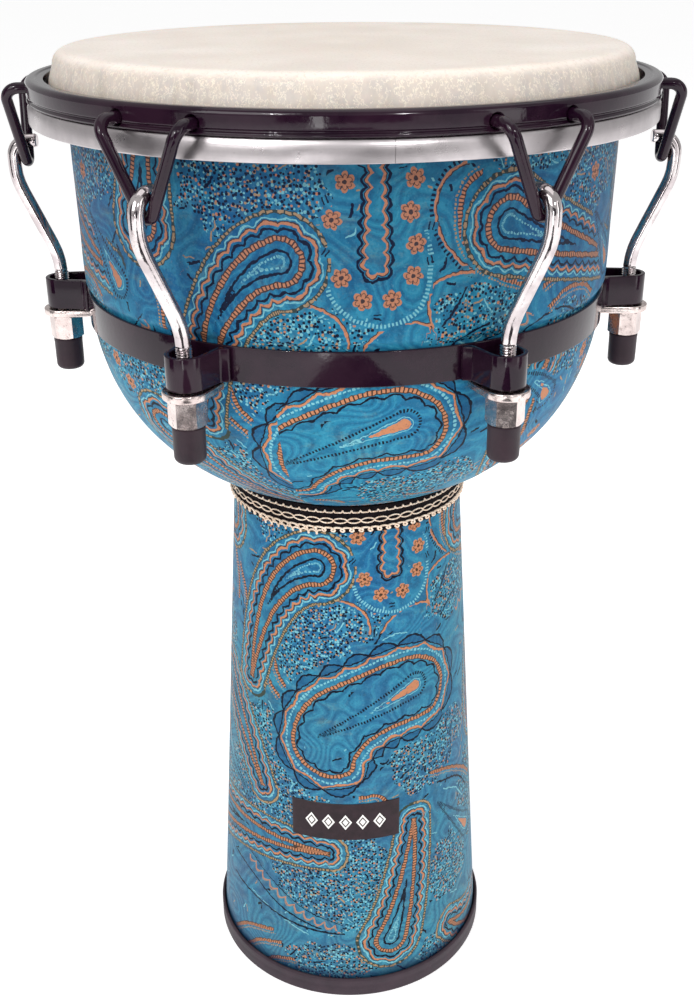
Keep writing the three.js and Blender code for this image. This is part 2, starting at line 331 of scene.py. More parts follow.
def prism(outline, low, high, bevel, hole=None):
    """Points and faces of an upright prism with eased edges, and a hole through it if one is given."""
    loops = [outline] if hole is None else [outline, hole[::-1]]
    angles = np.linspace(0, math.pi / 2, 4)
    stations = [((1 - math.sin(a)) * bevel, low + (1 - math.cos(a)) * bevel) for a in angles]
    stations += [((1 - math.sin(a)) * bevel, high - (1 - math.cos(a)) * bevel) for a in angles[::-1]]
    points, faces, rims = [], [], []
    for loop in loops:
        normals = edge_normals(loop)
        first = len(points)
        for inset, z in stations:
            points += [[x, y, z] for x, y in loop - normals * inset]
        faces += grid_faces(len(stations), len(loop), wrap_columns=True, first=first)
        rims.append((first, len(loop)))
    last = len(stations) - 1
    for station, flip in ((0, True), (last, False)):
        numbers = [list(range(f + station * n, f + station * n + n)) for f, n in rims]
        flat = [i for ring in numbers for i in ring]
        rings = [[Vector(points[i]) for i in ring] for ring in numbers]
        for triangle in tessellate_polygon(rings):
            face = [flat[i] for i in triangle]
            a, b, c = (np.array(points[i][:2]) for i in face)
            up = (b - a)[0] * (c - a)[1] - (b - a)[1] * (c - a)[0] > 0
            faces.append(face if up != flip else face[::-1])
    return np.array(points), faces


def bent(corners, bends, step):
    """The centre line of a bent wire: straight runs with a round bend at each inner corner."""
    corners = [np.array(c, float) for c in corners]
    line = [corners[0]]
    for i, radius in enumerate(bends):
        before, here, after = corners[i:i + 3]
        back, ahead = unit(before - here), unit(after - here)
        half = math.acos(float(np.clip(back @ ahead, -1, 1))) / 2
        centre = here + unit(back + ahead) * radius / math.sin(half)
        start, end = here + back * radius / math.tan(half) - centre, here + ahead * radius / math.tan(half) - centre
        sweep = math.pi - 2 * half
        for t in np.linspace(0, 1, max(3, math.ceil(sweep / math.radians(9))) + 1):
            line.append(centre + (math.sin((1 - t) * sweep) * start + math.sin(t * sweep) * end) / math.sin(sweep))
    line.append(corners[-1])
    out = []
    for a, b in zip(line, line[1:]):
        steps = max(1, round(length(b - a) / step))
        out += [a + (b - a) * k / steps for k in range(steps)]
    return np.array(out + [line[-1]])


def frames_along(line, closed):
    """Two directions across a line at each of its points, carried along it without twist."""
    ahead = np.roll(line, -1, axis=0) - np.roll(line, 1, axis=0)
    if not closed:
        ahead[0], ahead[-1] = line[1] - line[0], line[-1] - line[-2]
    ahead = unit(ahead)
    side = np.cross(ahead[0], [0.31, 0.17, 0.93])
    sides = []
    for tangent in ahead:
        side = unit(side - tangent * (side @ tangent))
        sides.append(side)
    sides = np.array(sides)
    return sides, np.cross(ahead, sides)


def tube(line, radii, sides, closed=False):
    """Points and faces of a tube. radii is a number, or has a row of numbers for each point of the line."""
    across, up = frames_along(line, closed)
    angles = np.arange(sides) * TURN / sides
    radii = np.broadcast_to(np.asarray(radii, float).reshape((-1, 1)) if np.ndim(radii) == 1 else radii,
                            (len(line), sides))
    ring = np.cos(angles)[None, :, None] * across[:, None] + np.sin(angles)[None, :, None] * up[:, None]
    points = (line[:, None] + ring * radii[:, :, None]).reshape(-1, 3)
    faces = grid_faces(len(line), sides, wrap_rows=closed, wrap_columns=True)
    if not closed:
        faces.append(list(range(sides))[::-1])
        faces.append([(len(line) - 1) * sides + k for k in range(sides)])
    return points, faces


def eased_radii(line, radius, ease):
    """The radius at each point of a wire whose cut ends are slightly eased."""
    run = run_along(line)
    near = np.minimum(run, run[-1] - run)
    return radius - ease * np.clip(1 - near / ease, 0, 1) ** 2


def joined(parts):
    """Several (points, faces) as one."""
    points, faces = [], []
    for part_points, part_faces in parts:
        first = sum(len(p) for p in points)
        points.append(np.asarray(part_points))
        faces += [[i + first for i in face] for face in part_faces]
    return np.concatenate(points), faces


# ---- Materials ----

NAVY = (0.001, 0.003, 0.012)
ORANGE = (0.45, 0.185, 0.092)
TAN = (0.33, 0.215, 0.115)
AQUA = (0.16, 0.42, 0.48)
BLUE = (0.006, 0.105, 0.250)
BROWN = (0.055, 0.030, 0.018)
OLIVE = (0.030, 0.045, 0.034)
TEAL = (0.012, 0.175, 0.285)


class Paint:
    """A material under construction: short calls that add nodes and give back their outputs."""

    def __init__(self, name):
        self.material = bpy.data.materials.new(name)
        self.material.use_nodes = True
        self.tree = self.material.node_tree
        self.tree.nodes.clear()
        self.place = self.add("ShaderNodeTexCoord").outputs["Object"]
        self.surface = self.add("ShaderNodeBsdfPrincipled")
        output = self.add("ShaderNodeOutputMaterial")
        self.tree.links.new(self.surface.outputs[0], output.inputs[0])

    def add(self, kind, **settings):
        node = self.tree.nodes.new(kind)
        for key, value in settings.items():
            setattr(node, key, value)
        return node

    def put(self, socket, value):
        if isinstance(value, bpy.types.NodeSocket):
            self.tree.links.new(value, socket)
        elif isinstance(value, tuple) and len(value) == 3 and len(socket.default_value) == 4:
            socket.default_value = (*value, 1)
        else:
            socket.default_value = value

    def set(self, **sockets):
        """Sets the surface's sockets; underscores in the names stand for spaces."""
        for name, value in sockets.items():
            self.put(self.surface.inputs[name.replace("_", " ")], value)
        return self.material

    def math(self, operation, *values, clamp=False):
        node = self.add("ShaderNodeMath", operation=operation, use_clamp=clamp)
        for socket, value in zip(node.inputs, values):
            self.put(socket, value)
        return node.outputs[0]

    def mix(self, share, a, b):
        node = self.add("ShaderNodeMix", data_type="RGBA")
        for socket, value in zip((node.inputs[0], node.inputs[6], node.inputs[7]), (share, a, b)):
            self.put(socket, value)
        return node.outputs[2]

    def between(self, value, low, high, to_low=0.0, to_high=1.0):
        node = self.add("ShaderNodeMapRange", interpolation_type="SMOOTHSTEP")
        for socket, number in zip(node.inputs, (value, low, high, to_low, to_high)):
            self.put(socket, number)
        return node.outputs[0]

    def times(self, product, *values):
        for value in values:
            product = self.math("MULTIPLY", product, value)
        return product

    def tint(self, base, field, low, high, share, colour):
        """The base, stained by up to share as the field goes from low to high."""
        return self.mix(self.between(field, low, high, 0.0, share), base, colour)

    def attribute(self, name):
        return self.split(self.add("ShaderNodeAttribute", attribute_name=name).outputs["Vector"])

    def split(self, vector):
        node = self.add("ShaderNodeSeparateXYZ")
        self.put(node.inputs[0], vector)
        return node.outputs[0], node.outputs[1], node.outputs[2]

    def flat(self, x, y):
        node = self.add("ShaderNodeCombineXYZ")
        for socket, value in zip(node.inputs, (x, y)):
            self.put(socket, value)
        return node.outputs[0]

    def stretched(self, along):
        """The place with its height scaled; below 1 a pattern on it is drawn out along the axis."""
        node = self.add("ShaderNodeVectorMath", operation="MULTIPLY")
        self.put(node.inputs[0], self.place)
        self.put(node.inputs[1], (1, 1, along))
        return node.outputs[0]

    def noise(self, scale, detail, rough, along=1):
        node = self.add("ShaderNodeTexNoise")
        settings = {"Vector": self.stretched(along), "Scale": scale, "Detail": detail, "Roughness": rough}
        for name, value in settings.items():
            self.put(node.inputs[name], value)
        return node.outputs[0]

    def cells(self, vector, scale, feature="F1", dimensions="3D"):
        node = self.add("ShaderNodeTexVoronoi", feature=feature, voronoi_dimensions=dimensions)
        self.put(node.inputs["Vector"], vector)
        self.put(node.inputs["Scale"], scale)
        return node

    def ramp(self, value, stops):
        """The ink of a value and its cover, where each stop holds until the next."""
        node = self.add("ShaderNodeValToRGB")
        self.put(node.inputs[0], value)
        ramp = node.color_ramp
        ramp.interpolation = "CONSTANT"
        while len(ramp.elements) < len(stops):
            ramp.elements.new(1.0)
        for element, (position, colour) in zip(ramp.elements, stops):
            element.position, element.color = position, colour
        return node.outputs[0], node.outputs[1]

    def bump(self, height, distance, strength, below=None):
        node = self.add("ShaderNodeBump")
        self.put(node.inputs["Height"], height)
        self.put(node.inputs["Distance"], distance)
        self.put(node.inputs["Strength"], strength)
        if below is not None:
            self.put(node.inputs["Normal"], below)
        return node.outputs[0]


def skin_material():
    """Cream synthetic skin: mottled, with fine crossing fibres, painted shade in its creases, and a skirt painted
    darker than its top as painted shade.
    """
    paint = Paint("skin")
    z = paint.split(paint.place)[2]
    mottle = paint.noise(22, 5, 0.6)
    cloud = paint.noise(6, 2, 0.5)
    speck = paint.noise(620, 3, 0.7)
    fibres = paint.noise(520, 3, 0.7, 0.08)
    base = paint.mix(paint.between(mottle, 0.3, 0.7), (0.86, 0.765, 0.69), (0.93, 0.845, 0.78))
    base = paint.tint(base, cloud, 0.35, 0.7, 0.45, (0.80, 0.685, 0.585))
    base = paint.tint(base, speck, 0.50, 0.72, 0.50, (0.62, 0.50, 0.42))
    skirt = paint.between(z, 0.5955, 0.5995, 1.0, 0.0)
    # Painted shade: the skirt is painted darker than the top face, for the upright side that the light from above
    # reaches less.
    base = paint.mix(paint.times(skirt, 0.80), base, (0.53, 0.465, 0.41))
    blotch = paint.noise(70, 4, 0.65, 0.45)
    base = paint.mix(paint.times(paint.between(blotch, 0.42, 0.66, 0.0, 0.6), skirt), base, (0.47, 0.43, 0.41))
    tangle = paint.noise(210, 3, 0.8, 0.6)
    veins = paint.math("ABSOLUTE", paint.math("SUBTRACT", tangle, 0.5))
    base = paint.mix(paint.times(paint.between(veins, 0.0, 0.03, 0.6, 0.0), skirt), base, (0.92, 0.83, 0.68))
    base = paint.tint(base, z, 0.590, 0.578, 0.35, (0.42, 0.35, 0.26))
    base = paint.mix(paint.times(paint.between(fibres, 0.48, 0.68), skirt, 0.3), base, (0.66, 0.56, 0.46))
    # Painted shade: each crease is darkened by how deep it is.
    crease = paint.attribute("crease")[0]
    base = paint.mix(paint.math("MULTIPLY", crease, 0.35, clamp=True), base, (0.44, 0.36, 0.28))
    rough = paint.between(mottle, 0.25, 0.75, 0.44, 0.58)
    fine = paint.bump(speck, 0.00012, 0.5)
    normal = paint.bump(fibres, 0.0002, 0.35, fine)
    paint.set(Base_Color=base, Roughness=rough, Normal=normal, Subsurface_Weight=0.12, Subsurface_Scale=0.004)
    return paint.set(Specular_IOR_Level=0.4, Coat_Weight=0.12, Coat_Roughness=0.35)


def black_steel_material():
    """Gloss black powder coat: purple-black, with orange peel and faint handling marks."""
    paint = Paint("black_steel")
    peel = paint.noise(420, 2, 0.4)
    patch = paint.noise(38, 4, 0.6)
    scuff = paint.noise(160, 4, 0.7, 5)
    base = paint.mix(paint.between(patch, 0.35, 0.65), (0.009, 0.002, 0.008), (0.018, 0.006, 0.014))
    base = paint.tint(base, scuff, 0.68, 0.78, 0.25, (0.07, 0.05, 0.075))
    rough = paint.between(patch, 0.3, 0.7, 0.07, 0.14)
    paint.set(Base_Color=base, Roughness=rough, Normal=paint.bump(peel, 0.00012, 0.35), Metallic=0.0)
    return paint.set(Specular_IOR_Level=0.28, Coat_Weight=0.08, Coat_Roughness=0.04)


def chrome_material(name, bright, dull, tarnish, gloss, satin):
    """Plated steel, with drawn streaks, waves and tarnish."""
    paint = Paint(name)
    streak = paint.noise(700, 3, 0.6, 0.06)
    wave = paint.noise(90, 3, 0.5)
    spots = paint.noise(260, 4, 0.7)
    base = paint.mix(paint.between(wave, 0.35, 0.65), bright, dull)
    base = paint.tint(base, spots, 0.56, 0.72, tarnish, (0.20, 0.13, 0.12))
    rough = paint.between(spots, 0.35, 0.75, gloss, satin)
    fine = paint.bump(streak, 0.00008, 0.35)
    return paint.set(Base_Color=base, Roughness=rough, Metallic=1.0, Normal=paint.bump(wave, 0.0006, 0.25, fine))


def aluminium_material():
    """Satin aluminium, brushed round the hoop, with small dents and marks."""
    paint = Paint("aluminium")
    brushed = paint.noise(42, 3, 0.6, 1400 / 42)
    patch = paint.noise(45, 4, 0.6)
    marks = paint.noise(240, 3, 0.7, 3)
    base = paint.mix(paint.between(patch, 0.3, 0.7), (0.60, 0.555, 0.565), (0.47, 0.435, 0.445))
    base = paint.tint(base, marks, 0.64, 0.76, 0.45, (0.36, 0.33, 0.33))
    rough = paint.between(patch, 0.3, 0.7, 0.26, 0.40)
    fine = paint.bump(brushed, 0.00006, 0.5)
    return paint.set(Base_Color=base, Roughness=rough, Metallic=1.0, Normal=paint.bump(patch, 0.0008, 0.2, fine))


def rubber_material(name, dark, light, rough_low, rough_high):
    """Moulded rubber with a fine grain, dusty wear and slight sheen."""
    paint = Paint(name)
    grain = paint.noise(1100, 3, 0.6)
    patch = paint.noise(55, 5, 0.65)
    dust = paint.noise(300, 4, 0.7)
    base = paint.mix(paint.between(patch, 0.3, 0.7), dark, light)
    base = paint.tint(base, dust, 0.62, 0.78, 0.3, tuple(min(1.0, 3 * c) for c in light))
    rough = paint.between(patch, 0.3, 0.7, rough_low, rough_high)
    paint.set(Base_Color=base, Roughness=rough, Normal=paint.bump(grain, 0.0002, 0.4))
    return paint.set(Specular_IOR_Level=0.3, Sheen_Weight=0.05, Sheen_Roughness=0.5)


def fibreglass_material():
    """Raw moulded fibreglass: chopped strands under resin."""
    paint = Paint("fibreglass")
    strands = paint.cells(paint.stretched(0.35), 160, "DISTANCE_TO_EDGE").outputs["Distance"]
    patch = paint.noise(18, 5, 0.6)
    fine = paint.noise(700, 3, 0.6)
    base = paint.mix(paint.between(patch, 0.3, 0.7), (0.20, 0.155, 0.11), (0.31, 0.25, 0.185))
    base = paint.mix(paint.between(strands, 0.0, 0.12, 0.45, 0.0), base, (0.46, 0.40, 0.31))
    rough = paint.between(patch, 0.3, 0.7, 0.45, 0.7)
    low = paint.bump(strands, 0.0006, 0.5)
    return paint.set(Base_Color=base, Roughness=rough, Normal=paint.bump(fine, 0.0003, 0.4, low))


def braid_material(name, dark, light, scale):
    """Twisted yarn."""
    paint = Paint(name)
    twist = paint.noise(scale, 3, 0.6, 1.6)
    patch = paint.noise(60, 3, 0.5)
    base = paint.mix(paint.between(twist, 0.35, 0.65), dark, light)
    base = paint.tint(base, patch, 0.4, 0.7, 0.35, dark)
    paint.set(Base_Color=base, Roughness=paint.between(twist, 0.3, 0.7, 0.5, 0.8))
    return paint.set(Normal=paint.bump(twist, 0.0004, 0.7), Specular_IOR_Level=0.06)


LOZENGE = {"pitch": 11.0, "squat": 0.75, "reach": 4.2, "line": 2.4, "half": 0.45, "row": 27.6}  # mm


def label_material():
    """Satin black label with a plain row of light lozenges."""
    paint = Paint("label")
    u, v, _ = paint.attribute("label")
    column = paint.math("PINGPONG", u, LOZENGE["pitch"] / 2)
    reach = paint.math("ADD", column, paint.times(paint.math("ABSOLUTE", v), LOZENGE["squat"]))
    lozenge = paint.math("LESS_THAN", reach, LOZENGE["reach"])
    hollow = paint.math("COMPARE", reach, LOZENGE["line"], LOZENGE["half"])
    inside = paint.math("LESS_THAN", paint.math("ABSOLUTE", u), LOZENGE["row"])
    mark = paint.times(paint.math("SUBTRACT", lozenge, hollow, clamp=True), inside)
    smear = paint.noise(160, 4, 0.6)
    ground = paint.mix(paint.between(smear, 0.3, 0.7), (0.010, 0.002, 0.005), (0.022, 0.008, 0.013))
    base = paint.mix(mark, ground, (0.80, 0.78, 0.75))
    paint.set(Base_Color=base, Roughness=paint.between(smear, 0.3, 0.7, 0.28, 0.42))
    return paint.set(Normal=paint.bump(paint.math("ADD", smear, mark), 0.0001, 0.5), Specular_IOR_Level=0.28)


# ---- The print, laid out in millimetres: x to the right of the front, y up the drum ----

REPEAT = 313.3
ROPE, LEAF, CLOUD, TONGUE, FRINGE, CROWN, HORN, LADDER, STROKE, GLEAM, ZIGZAG, FLOWER, DASHES, SCRATCH = \
    range(1, 15)

COPIES = range(-2, 3)
FAR = 50.0
BATCH = 2000  # places read at a time


def banded(reach, straight, scallops=(60, 0, []), pitch=40, share=1.0):
    """How a kind of figure is inked: its straight bands, and its scalloped ones with their period and rise.

    A band is (from, to, ink, ink between stitches), in millimetres outwards from the figure's line, where
    None leaves the ground bare. Pitch is that of the stitches, and share how much of it is inked.
    """
    return {"reach": reach, "straight": straight, "scallops": scallops, "pitch": pitch, "share": share}


def solid_line(half, ink):
    return [(-half, half, ink, ink)]


BANDS = {
    ROPE: banded((-13, 14), [
        (-8.6, -7.7, AQUA, None), (-6.1, -4.8, NAVY, NAVY), (-1.6, -1.1, BROWN, BROWN), (-1.1, 1.1, ORANGE, BROWN),
        (1.1, 1.6, BROWN, BROWN), (11.4, 11.9, OLIVE, OLIVE), (11.9, 13.3, TAN, OLIVE), (13.3, 13.7, OLIVE, OLIVE)],
        (8.2, 2.1, [(2.4, 3.8, NAVY), (5.2, 6.5, ORANGE), (6.5, 7.1, BROWN), (7.7, 8.5, AQUA)]), 2.0, 0.62),
    LEAF: banded((-12, 2.6), [(-12, -5.3, ORANGE, ORANGE), (-4.4, -3.9, AQUA, AQUA), (-1.0, 0.7, NAVY, None)],
                 pitch=1.9, share=0.55),
    CLOUD: banded((-7.5, 17), [
        (-1.5, -1.0, BROWN, BROWN), (-1.0, 1.2, ORANGE, BROWN), (1.2, 1.6, BROWN, BROWN), (4.2, 5.6, AQUA, None)],
        (16, -2.6, [(8.4, 9.7, ORANGE), (9.7, 10.2, BROWN)]), 2.3, 0.66),
    TONGUE: banded((-6, 4.5), [], (6.4, 1.9, [(-1.7, -0.3, ORANGE), (-0.3, 0.2, BROWN), (0.7, 2.2, NAVY)])),
    FRINGE: banded((-2, 2), [(-1.1, 1.1, AQUA, None)], pitch=1.9, share=0.5),
    CROWN: banded((-2.4, 2.4), [(-1.1, -0.6, BROWN, BROWN), (-0.6, 0.6, ORANGE, ORANGE)]),
    HORN: banded((-3, 4), [(-1.2, -0.6, BROWN, BROWN), (-0.6, 0.6, ORANGE, ORANGE), (0.9, 2.9, NAVY, None)],
                 pitch=2.2, share=0.5),
    LADDER: banded((-2.5, 4.2), [(-1.6, -1.1, BROWN, BROWN), (-1.1, 1.1, ORANGE, BROWN), (2.2, 3.2, TAN, None)],
                   pitch=1.8, share=0.6),
    STROKE: banded((-1.4, 1.4), solid_line(0.65, NAVY)),
    GLEAM: banded((-1.4, 1.4), solid_line(0.4, AQUA)),
    SCRATCH: banded((-1.4, 1.4), solid_line(0.4, TAN)),
    ZIGZAG: banded((-2, 8), [(-1.6, -0.9, NAVY, NAVY)], (7.5, 4.6, [(0.2, 1.5, ORANGE), (1.9, 2.5, TAN)])),
}


def smooth_line(points, closed=False, step=0.5):
    """A smooth line through given points."""
    points = np.array(points, float)
    if closed:
        return refined(points, step, corner=math.pi)
    ends = np.concatenate([[2 * points[0] - points[1]], points, [2 * points[-1] - points[-2]]])
    runs = [curve_through(*ends[i:i + 4], max(1, math.ceil(length(ends[i + 2] - ends[i + 1]) / step)))
            for i in range(len(points) - 1)]
    return np.concatenate(runs + [points[-1:]])


def drop(head, bend, tip, r):
    """A closed drop along a bent spine: a round head of radius r that narrows to its tip."""
    head, bend, tip = (np.array(p, float) for p in (head, bend, tip))
    t = np.linspace(0, 1, 120)[:, None]
    spine = (1 - t) ** 2 * head + 2 * t * (1 - t) * bend + t**2 * tip
    along = unit(np.gradient(spine, axis=0))
    side = np.stack([-along[:, 1], along[:, 0]], axis=1)
    half = r * (1 - t) ** 0.7 * (1 - 0.25 * t)
    left, right = spine + side * half, spine - side * half
    facing = math.degrees(math.atan2(side[0, 1], side[0, 0]))
    cap = arc(head, r, facing, facing + 180, 24)[1:-1]
    outline = np.concatenate([left[::-1], cap, right[:-1]])
    steps = length(np.roll(outline, -1, axis=0) - outline)
    outline = outline[steps > 0.05]
    return outline if area(outline) > 0 else np.roll(outline[::-1], 1, axis=0)


def cusped(points, sag):
    """Arcs that hang between points, meeting in cusps."""
    line = []
    for a, b in zip(np.array(points[:-1], float), np.array(points[1:], float)):
        t = np.linspace(0, 1, max(4, int(length(b - a) / 0.7)), endpoint=False)[:, None]
        normal = np.array([(b - a)[1], -(b - a)[0]]) / length(b - a)
        line.append(a + (b - a) * t + normal * sag * 4 * t * (1 - t))
    return np.concatenate(line + [np.array(points[-1:], float)])


class Motif:
    """One printed figure: a line with bands along it."""

    def __init__(self, kind, line, closed):
        self.kind, self.line, self.closed = kind, line, closed
        self.low, self.high = BANDS[kind]["reach"]
        ahead = np.roll(line, -1, axis=0) - line
        if not closed:
            ahead[-1] = ahead[-2]
        steps = length(ahead)
        self.run = np.concatenate([[0], np.cumsum(steps)[:-1]])
        tangent = ahead + np.roll(ahead, 1, axis=0) if closed else ahead
        self.tangent = unit(tangent)
        self.step = float(steps.max())

    def box(self):
        margin = max(-self.low if not self.closed else 0, self.high) + 6
        return self.line.min(axis=0) - margin, self.line.max(axis=0) + margin

    def read(self, places):
        """The signed distance from the line, and the distance along it."""
        nearest = np.concatenate([
            ((part[:, None] - self.line[None]) ** 2).sum(axis=2).argmin(axis=1)
            for part in np.array_split(places, max(1, len(places) // BATCH))])
        tangent, offset = self.tangent[nearest], places - self.line[nearest]
        along = np.clip((offset * tangent).sum(axis=1), -self.step, self.step)
        away = offset - tangent * along[:, None]
        outside = offset[:, 0] * tangent[:, 1] - offset[:, 1] * tangent[:, 0]
        distance = length(away) * np.where(outside < 0, -1, 1)
        if not self.closed:
            past = (nearest == 0) & (along < 0) | (nearest == len(self.line) - 1) & (along > 0)
            distance = np.where(past, FAR, distance)
        return distance, self.run[nearest] + along

    def owns(self, a, b):
        return (a > self.low) & (a < self.high)


class Stamp:
    """A small figure round a point, in its own turned axes."""

    def __init__(self, kind, x, y, radius, degrees):
        self.kind, self.centre, self.radius = kind, np.array([x, y], float), radius
        self.c, self.s = math.cos(math.radians(degrees)), math.sin(math.radians(degrees))

    def box(self):
        return self.centre - self.radius - 4, self.centre + self.radius + 4

    def read(self, places):
        x, y = (places - self.centre).T
        return x * self.c + y * self.s, y * self.c - x * self.s

    def owns(self, a, b):
        return np.hypot(a, b) < self.radius


def lines(kind, *routes):
    return [Motif(kind, smooth_line(route), False) for route in routes]


def flowers():
    spots = [(0, 553), (-6, 536), (-2, 509), (8, 498), (22, 498), (32, 509), (33, 524), (30, 539), (32, 554)]
    marks = [(8, 561, 70), (26, 560, 105), (-9, 545, 30), (-9, 521, 150), (15, 490, 90), (40, 516, 20), (40, 532, -10)]
    strays = [(148, 545), (-150, 447), (-139, 436), (132, 392), (144, 401), (150, 388)]
    found = [Stamp(FLOWER, x, y, 6.4, turn * i) for turn, group in ((17, spots), (29, strays))
             for i, (x, y) in enumerate(group)]
    return found + [Stamp(DASHES, x, y, 3.2, turn) for x, y, turn in marks]


def motifs():
    """Every figure of one repeat, those that lie on top first."""
    drops = [
        (LEAF, (31, 431), (4, 421), (-31, 401), 8.6),
        (LEAF, (-132, 494), (-143, 506), (-160, 524), 8.6),
        (LEAF, (90, 296), (76, 308), (52, 336), 8.6),
        (LEAF, (128, 430), (112, 444), (88, 450), 8.6),
        (LEAF, (-128, 372), (-118, 352), (-92, 340), 8.6),
        (LEAF, (140, 250), (120, 240), (96, 244), 8.6),
        (ROPE, (-31, 516), (-66, 508), (-82, 428), 11),
        (ROPE, (82, 529), (108, 518), (176, 498), 12.5),
        (ROPE, (-108, 528), (-106, 552), (-97, 600), 9.5),
        (ROPE, (16, 243), (28, 275), (32, 332), 10.5),
        (ROPE, (-138, 300), (-90, 318), (-26, 314), 9.0),
        (ROPE, (112, 378), (96, 410), (118, 452), 10.0),
        (ROPE, (-118, 414), (-96, 398), (-74, 352), 9.0),
        (ROPE, (118, 222), (90, 214), (66, 232), 9.0),
    ]
    cloud = [(48, 411), (54, 426), (47, 442), (30, 451), (12, 450), (-3, 445), (-18, 438), (-31, 430), (-41, 418),
             (-47, 403), (-47, 389), (-39, 379), (-26, 373), (-12, 376), (-8, 387), (0, 398), (16, 406), (33, 408)]
    found = flowers()
    found += [Motif(TONGUE, drop((14, 515), (14, 545), (15, 640), 5.2), True)]
    found += [Motif(kind, drop(head, bend, tip, r), True) for kind, head, bend, tip, r in drops]
    found += [Motif(CLOUD, smooth_line(cloud, closed=True), True)]
    found += lines(FRINGE, [(-9, 507), (-6, 498), (2, 490), (12, 486), (22, 486), (32, 490), (38, 498), (40, 508),
                            (40, 520), (37, 532)])
    found += [Motif(CROWN, cusped(points, -2), False)
              for points in ([(-24, 496), (-4, 489), (1, 472)],
                             [(8, 471), (21, 485), (42, 484), (42, 504), (64, 508)])]
    found += lines(HORN, [(58, 560), (49, 556), (43, 548), (42, 536), (46, 525), (54, 515), (64, 507)])
    found += lines(LADDER, [(66, 556), (57, 549), (54, 536), (57, 522), (66, 511), (80, 503), (96, 497)],
                   [(-96, 500), (-88, 486), (-86, 470)], [(-104, 506), (-98, 490), (-98, 474)],
                   [(-74, 446), (-66, 432), (-56, 421), (-48, 415)],
                   [(-62, 452), (-58, 438), (-50, 428)],
                   [(112, 482), (126, 489), (146, 488), (160, 480)],
                   [(106, 494), (124, 500), (146, 498)],
                   [(-112, 214), (-92, 230), (-66, 240)],
                   [(-98, 208), (-80, 224), (-60, 232)],
                   [(-80, 206), (-66, 217), (-50, 222)],
                   [(44, 362), (64, 356), (84, 344), (100, 330)],
                   [(-6, 357), (6, 357), (14, 350)])
    found += lines(STROKE,
                   [(0, 396), (5, 399), (9, 396), (7, 391), (12, 390), (17, 394), (16, 399)],
                   [(-24, 384), (-14, 387), (-4, 383)],
                   [(26, 397), (31, 394), (34, 399)],
                   [(-2, 381), (4, 384), (10, 380), (14, 383)],
                   [(52, 470), (62, 478), (74, 482)],
                   [(96, 471), (110, 479), (128, 480), (142, 474)],
                   [(-112, 262), (-80, 258), (-46, 252), (-14, 250)],
                   [(-110, 282), (-86, 276), (-60, 262), (-30, 252)],
                   [(50, 352), (74, 344), (92, 326)],
                   [(-96, 482), (-90, 474), (-92, 464)],
                   [(132, 520), (146, 516), (158, 519)],
                   [(132, 512), (146, 508), (158, 510)],
                   [(46, 482), (54, 492), (60, 503)], [(48, 520), (47, 512), (43, 509)],
                   [(-120, 540), (-128, 522), (-140, 508)], [(-104, 566), (-122, 548), (-136, 530)])
    found += lines(GLEAM,
                   [(6, 466), (18, 470), (34, 466)],
                   [(-88, 262), (-66, 256), (-40, 246)],
                   [(54, 474), (64, 471), (72, 476)],
                   [(56, 344), (72, 336), (84, 322)],
                   [(100, 463), (112, 470), (126, 470)],
                   [(-16, 392), (-6, 396), (2, 402)])
    found += lines(ZIGZAG, [(-88, 292), (-62, 276), (-40, 264), (-16, 256)],
                   [(70, 470), (84, 474), (98, 486)],
                   [(-146, 462), (-128, 468), (-112, 480)])
    return found + scattered(380)


def scattered(count):
    """Short loose strokes of the brush, which fill what ground the figures leave."""
    found = []
    for _ in range(count):
        x, y = rng.uniform(-156, 156), rng.uniform(200, 590)
        angle = 1.2 * math.sin(x / 37 + y / 61) + rng.normal(0, 0.35)
        ahead = rng.uniform(2.2, 5.5) * np.array([math.cos(angle), math.sin(angle)])
        bow = rng.uniform(-1.2, 1.2) * np.array([-math.sin(angle), math.cos(angle)])
        kind = rng.choice([STROKE, GLEAM, SCRATCH], p=[0.42, 0.26, 0.32])
        found.append(Motif(int(kind), smooth_line([(x, y) - ahead, (x, y) + bow, (x, y) + ahead]), False))
    return found


SPECKLES = [(-45, 548, 40, 22), (-38, 466, 30, 34), (-12, 480, 26, 14), (66, 484, 28, 18), (-68, 388, 30, 26),
            (52, 384, 34, 18), (-24, 290, 44, 40), (40, 374, 26, 22), (66, 282, 22, 26), (-24, 226, 34, 16),
            (-66, 362, 40, 34), (146, 548, 26, 22), (-146, 552, 22, 18), (138, 462, 24, 22), (-130, 448, 28, 22),
            (110, 320, 38, 40), (-112, 330, 30, 26), (60, 218, 24, 18), (-56, 500, 14, 20), (96, 560, 30, 8)]


def speckle_at(places):
    """Above zero inside the fields of scattered dots."""
    x, y = places[:, 0], places[:, 1]
    wave = 0.16 * np.sin(x / 3.1 + y / 7.3) + 0.12 * np.sin(y / 2.7 - x / 9.1)
    found = [1 - ((x - cx - k * REPEAT) / rx) ** 2 - ((y - cy) / ry) ** 2
             for cx, cy, rx, ry in SPECKLES for k in COPIES]
    return np.max(found, axis=0) + wave


def quads_of(columns, rows):
    """The corner numbers of each quad of a grid, as lathe orders them."""
    j, i = np.arange(columns - 1)[:, None], np.arange(rows - 1)[None, :]
    corners = [(j + 1) * rows + i, (j + 1) * rows + i + 1, j * rows + i + 1, j * rows + i]
    return stacked(*corners).reshape(-1, 4)


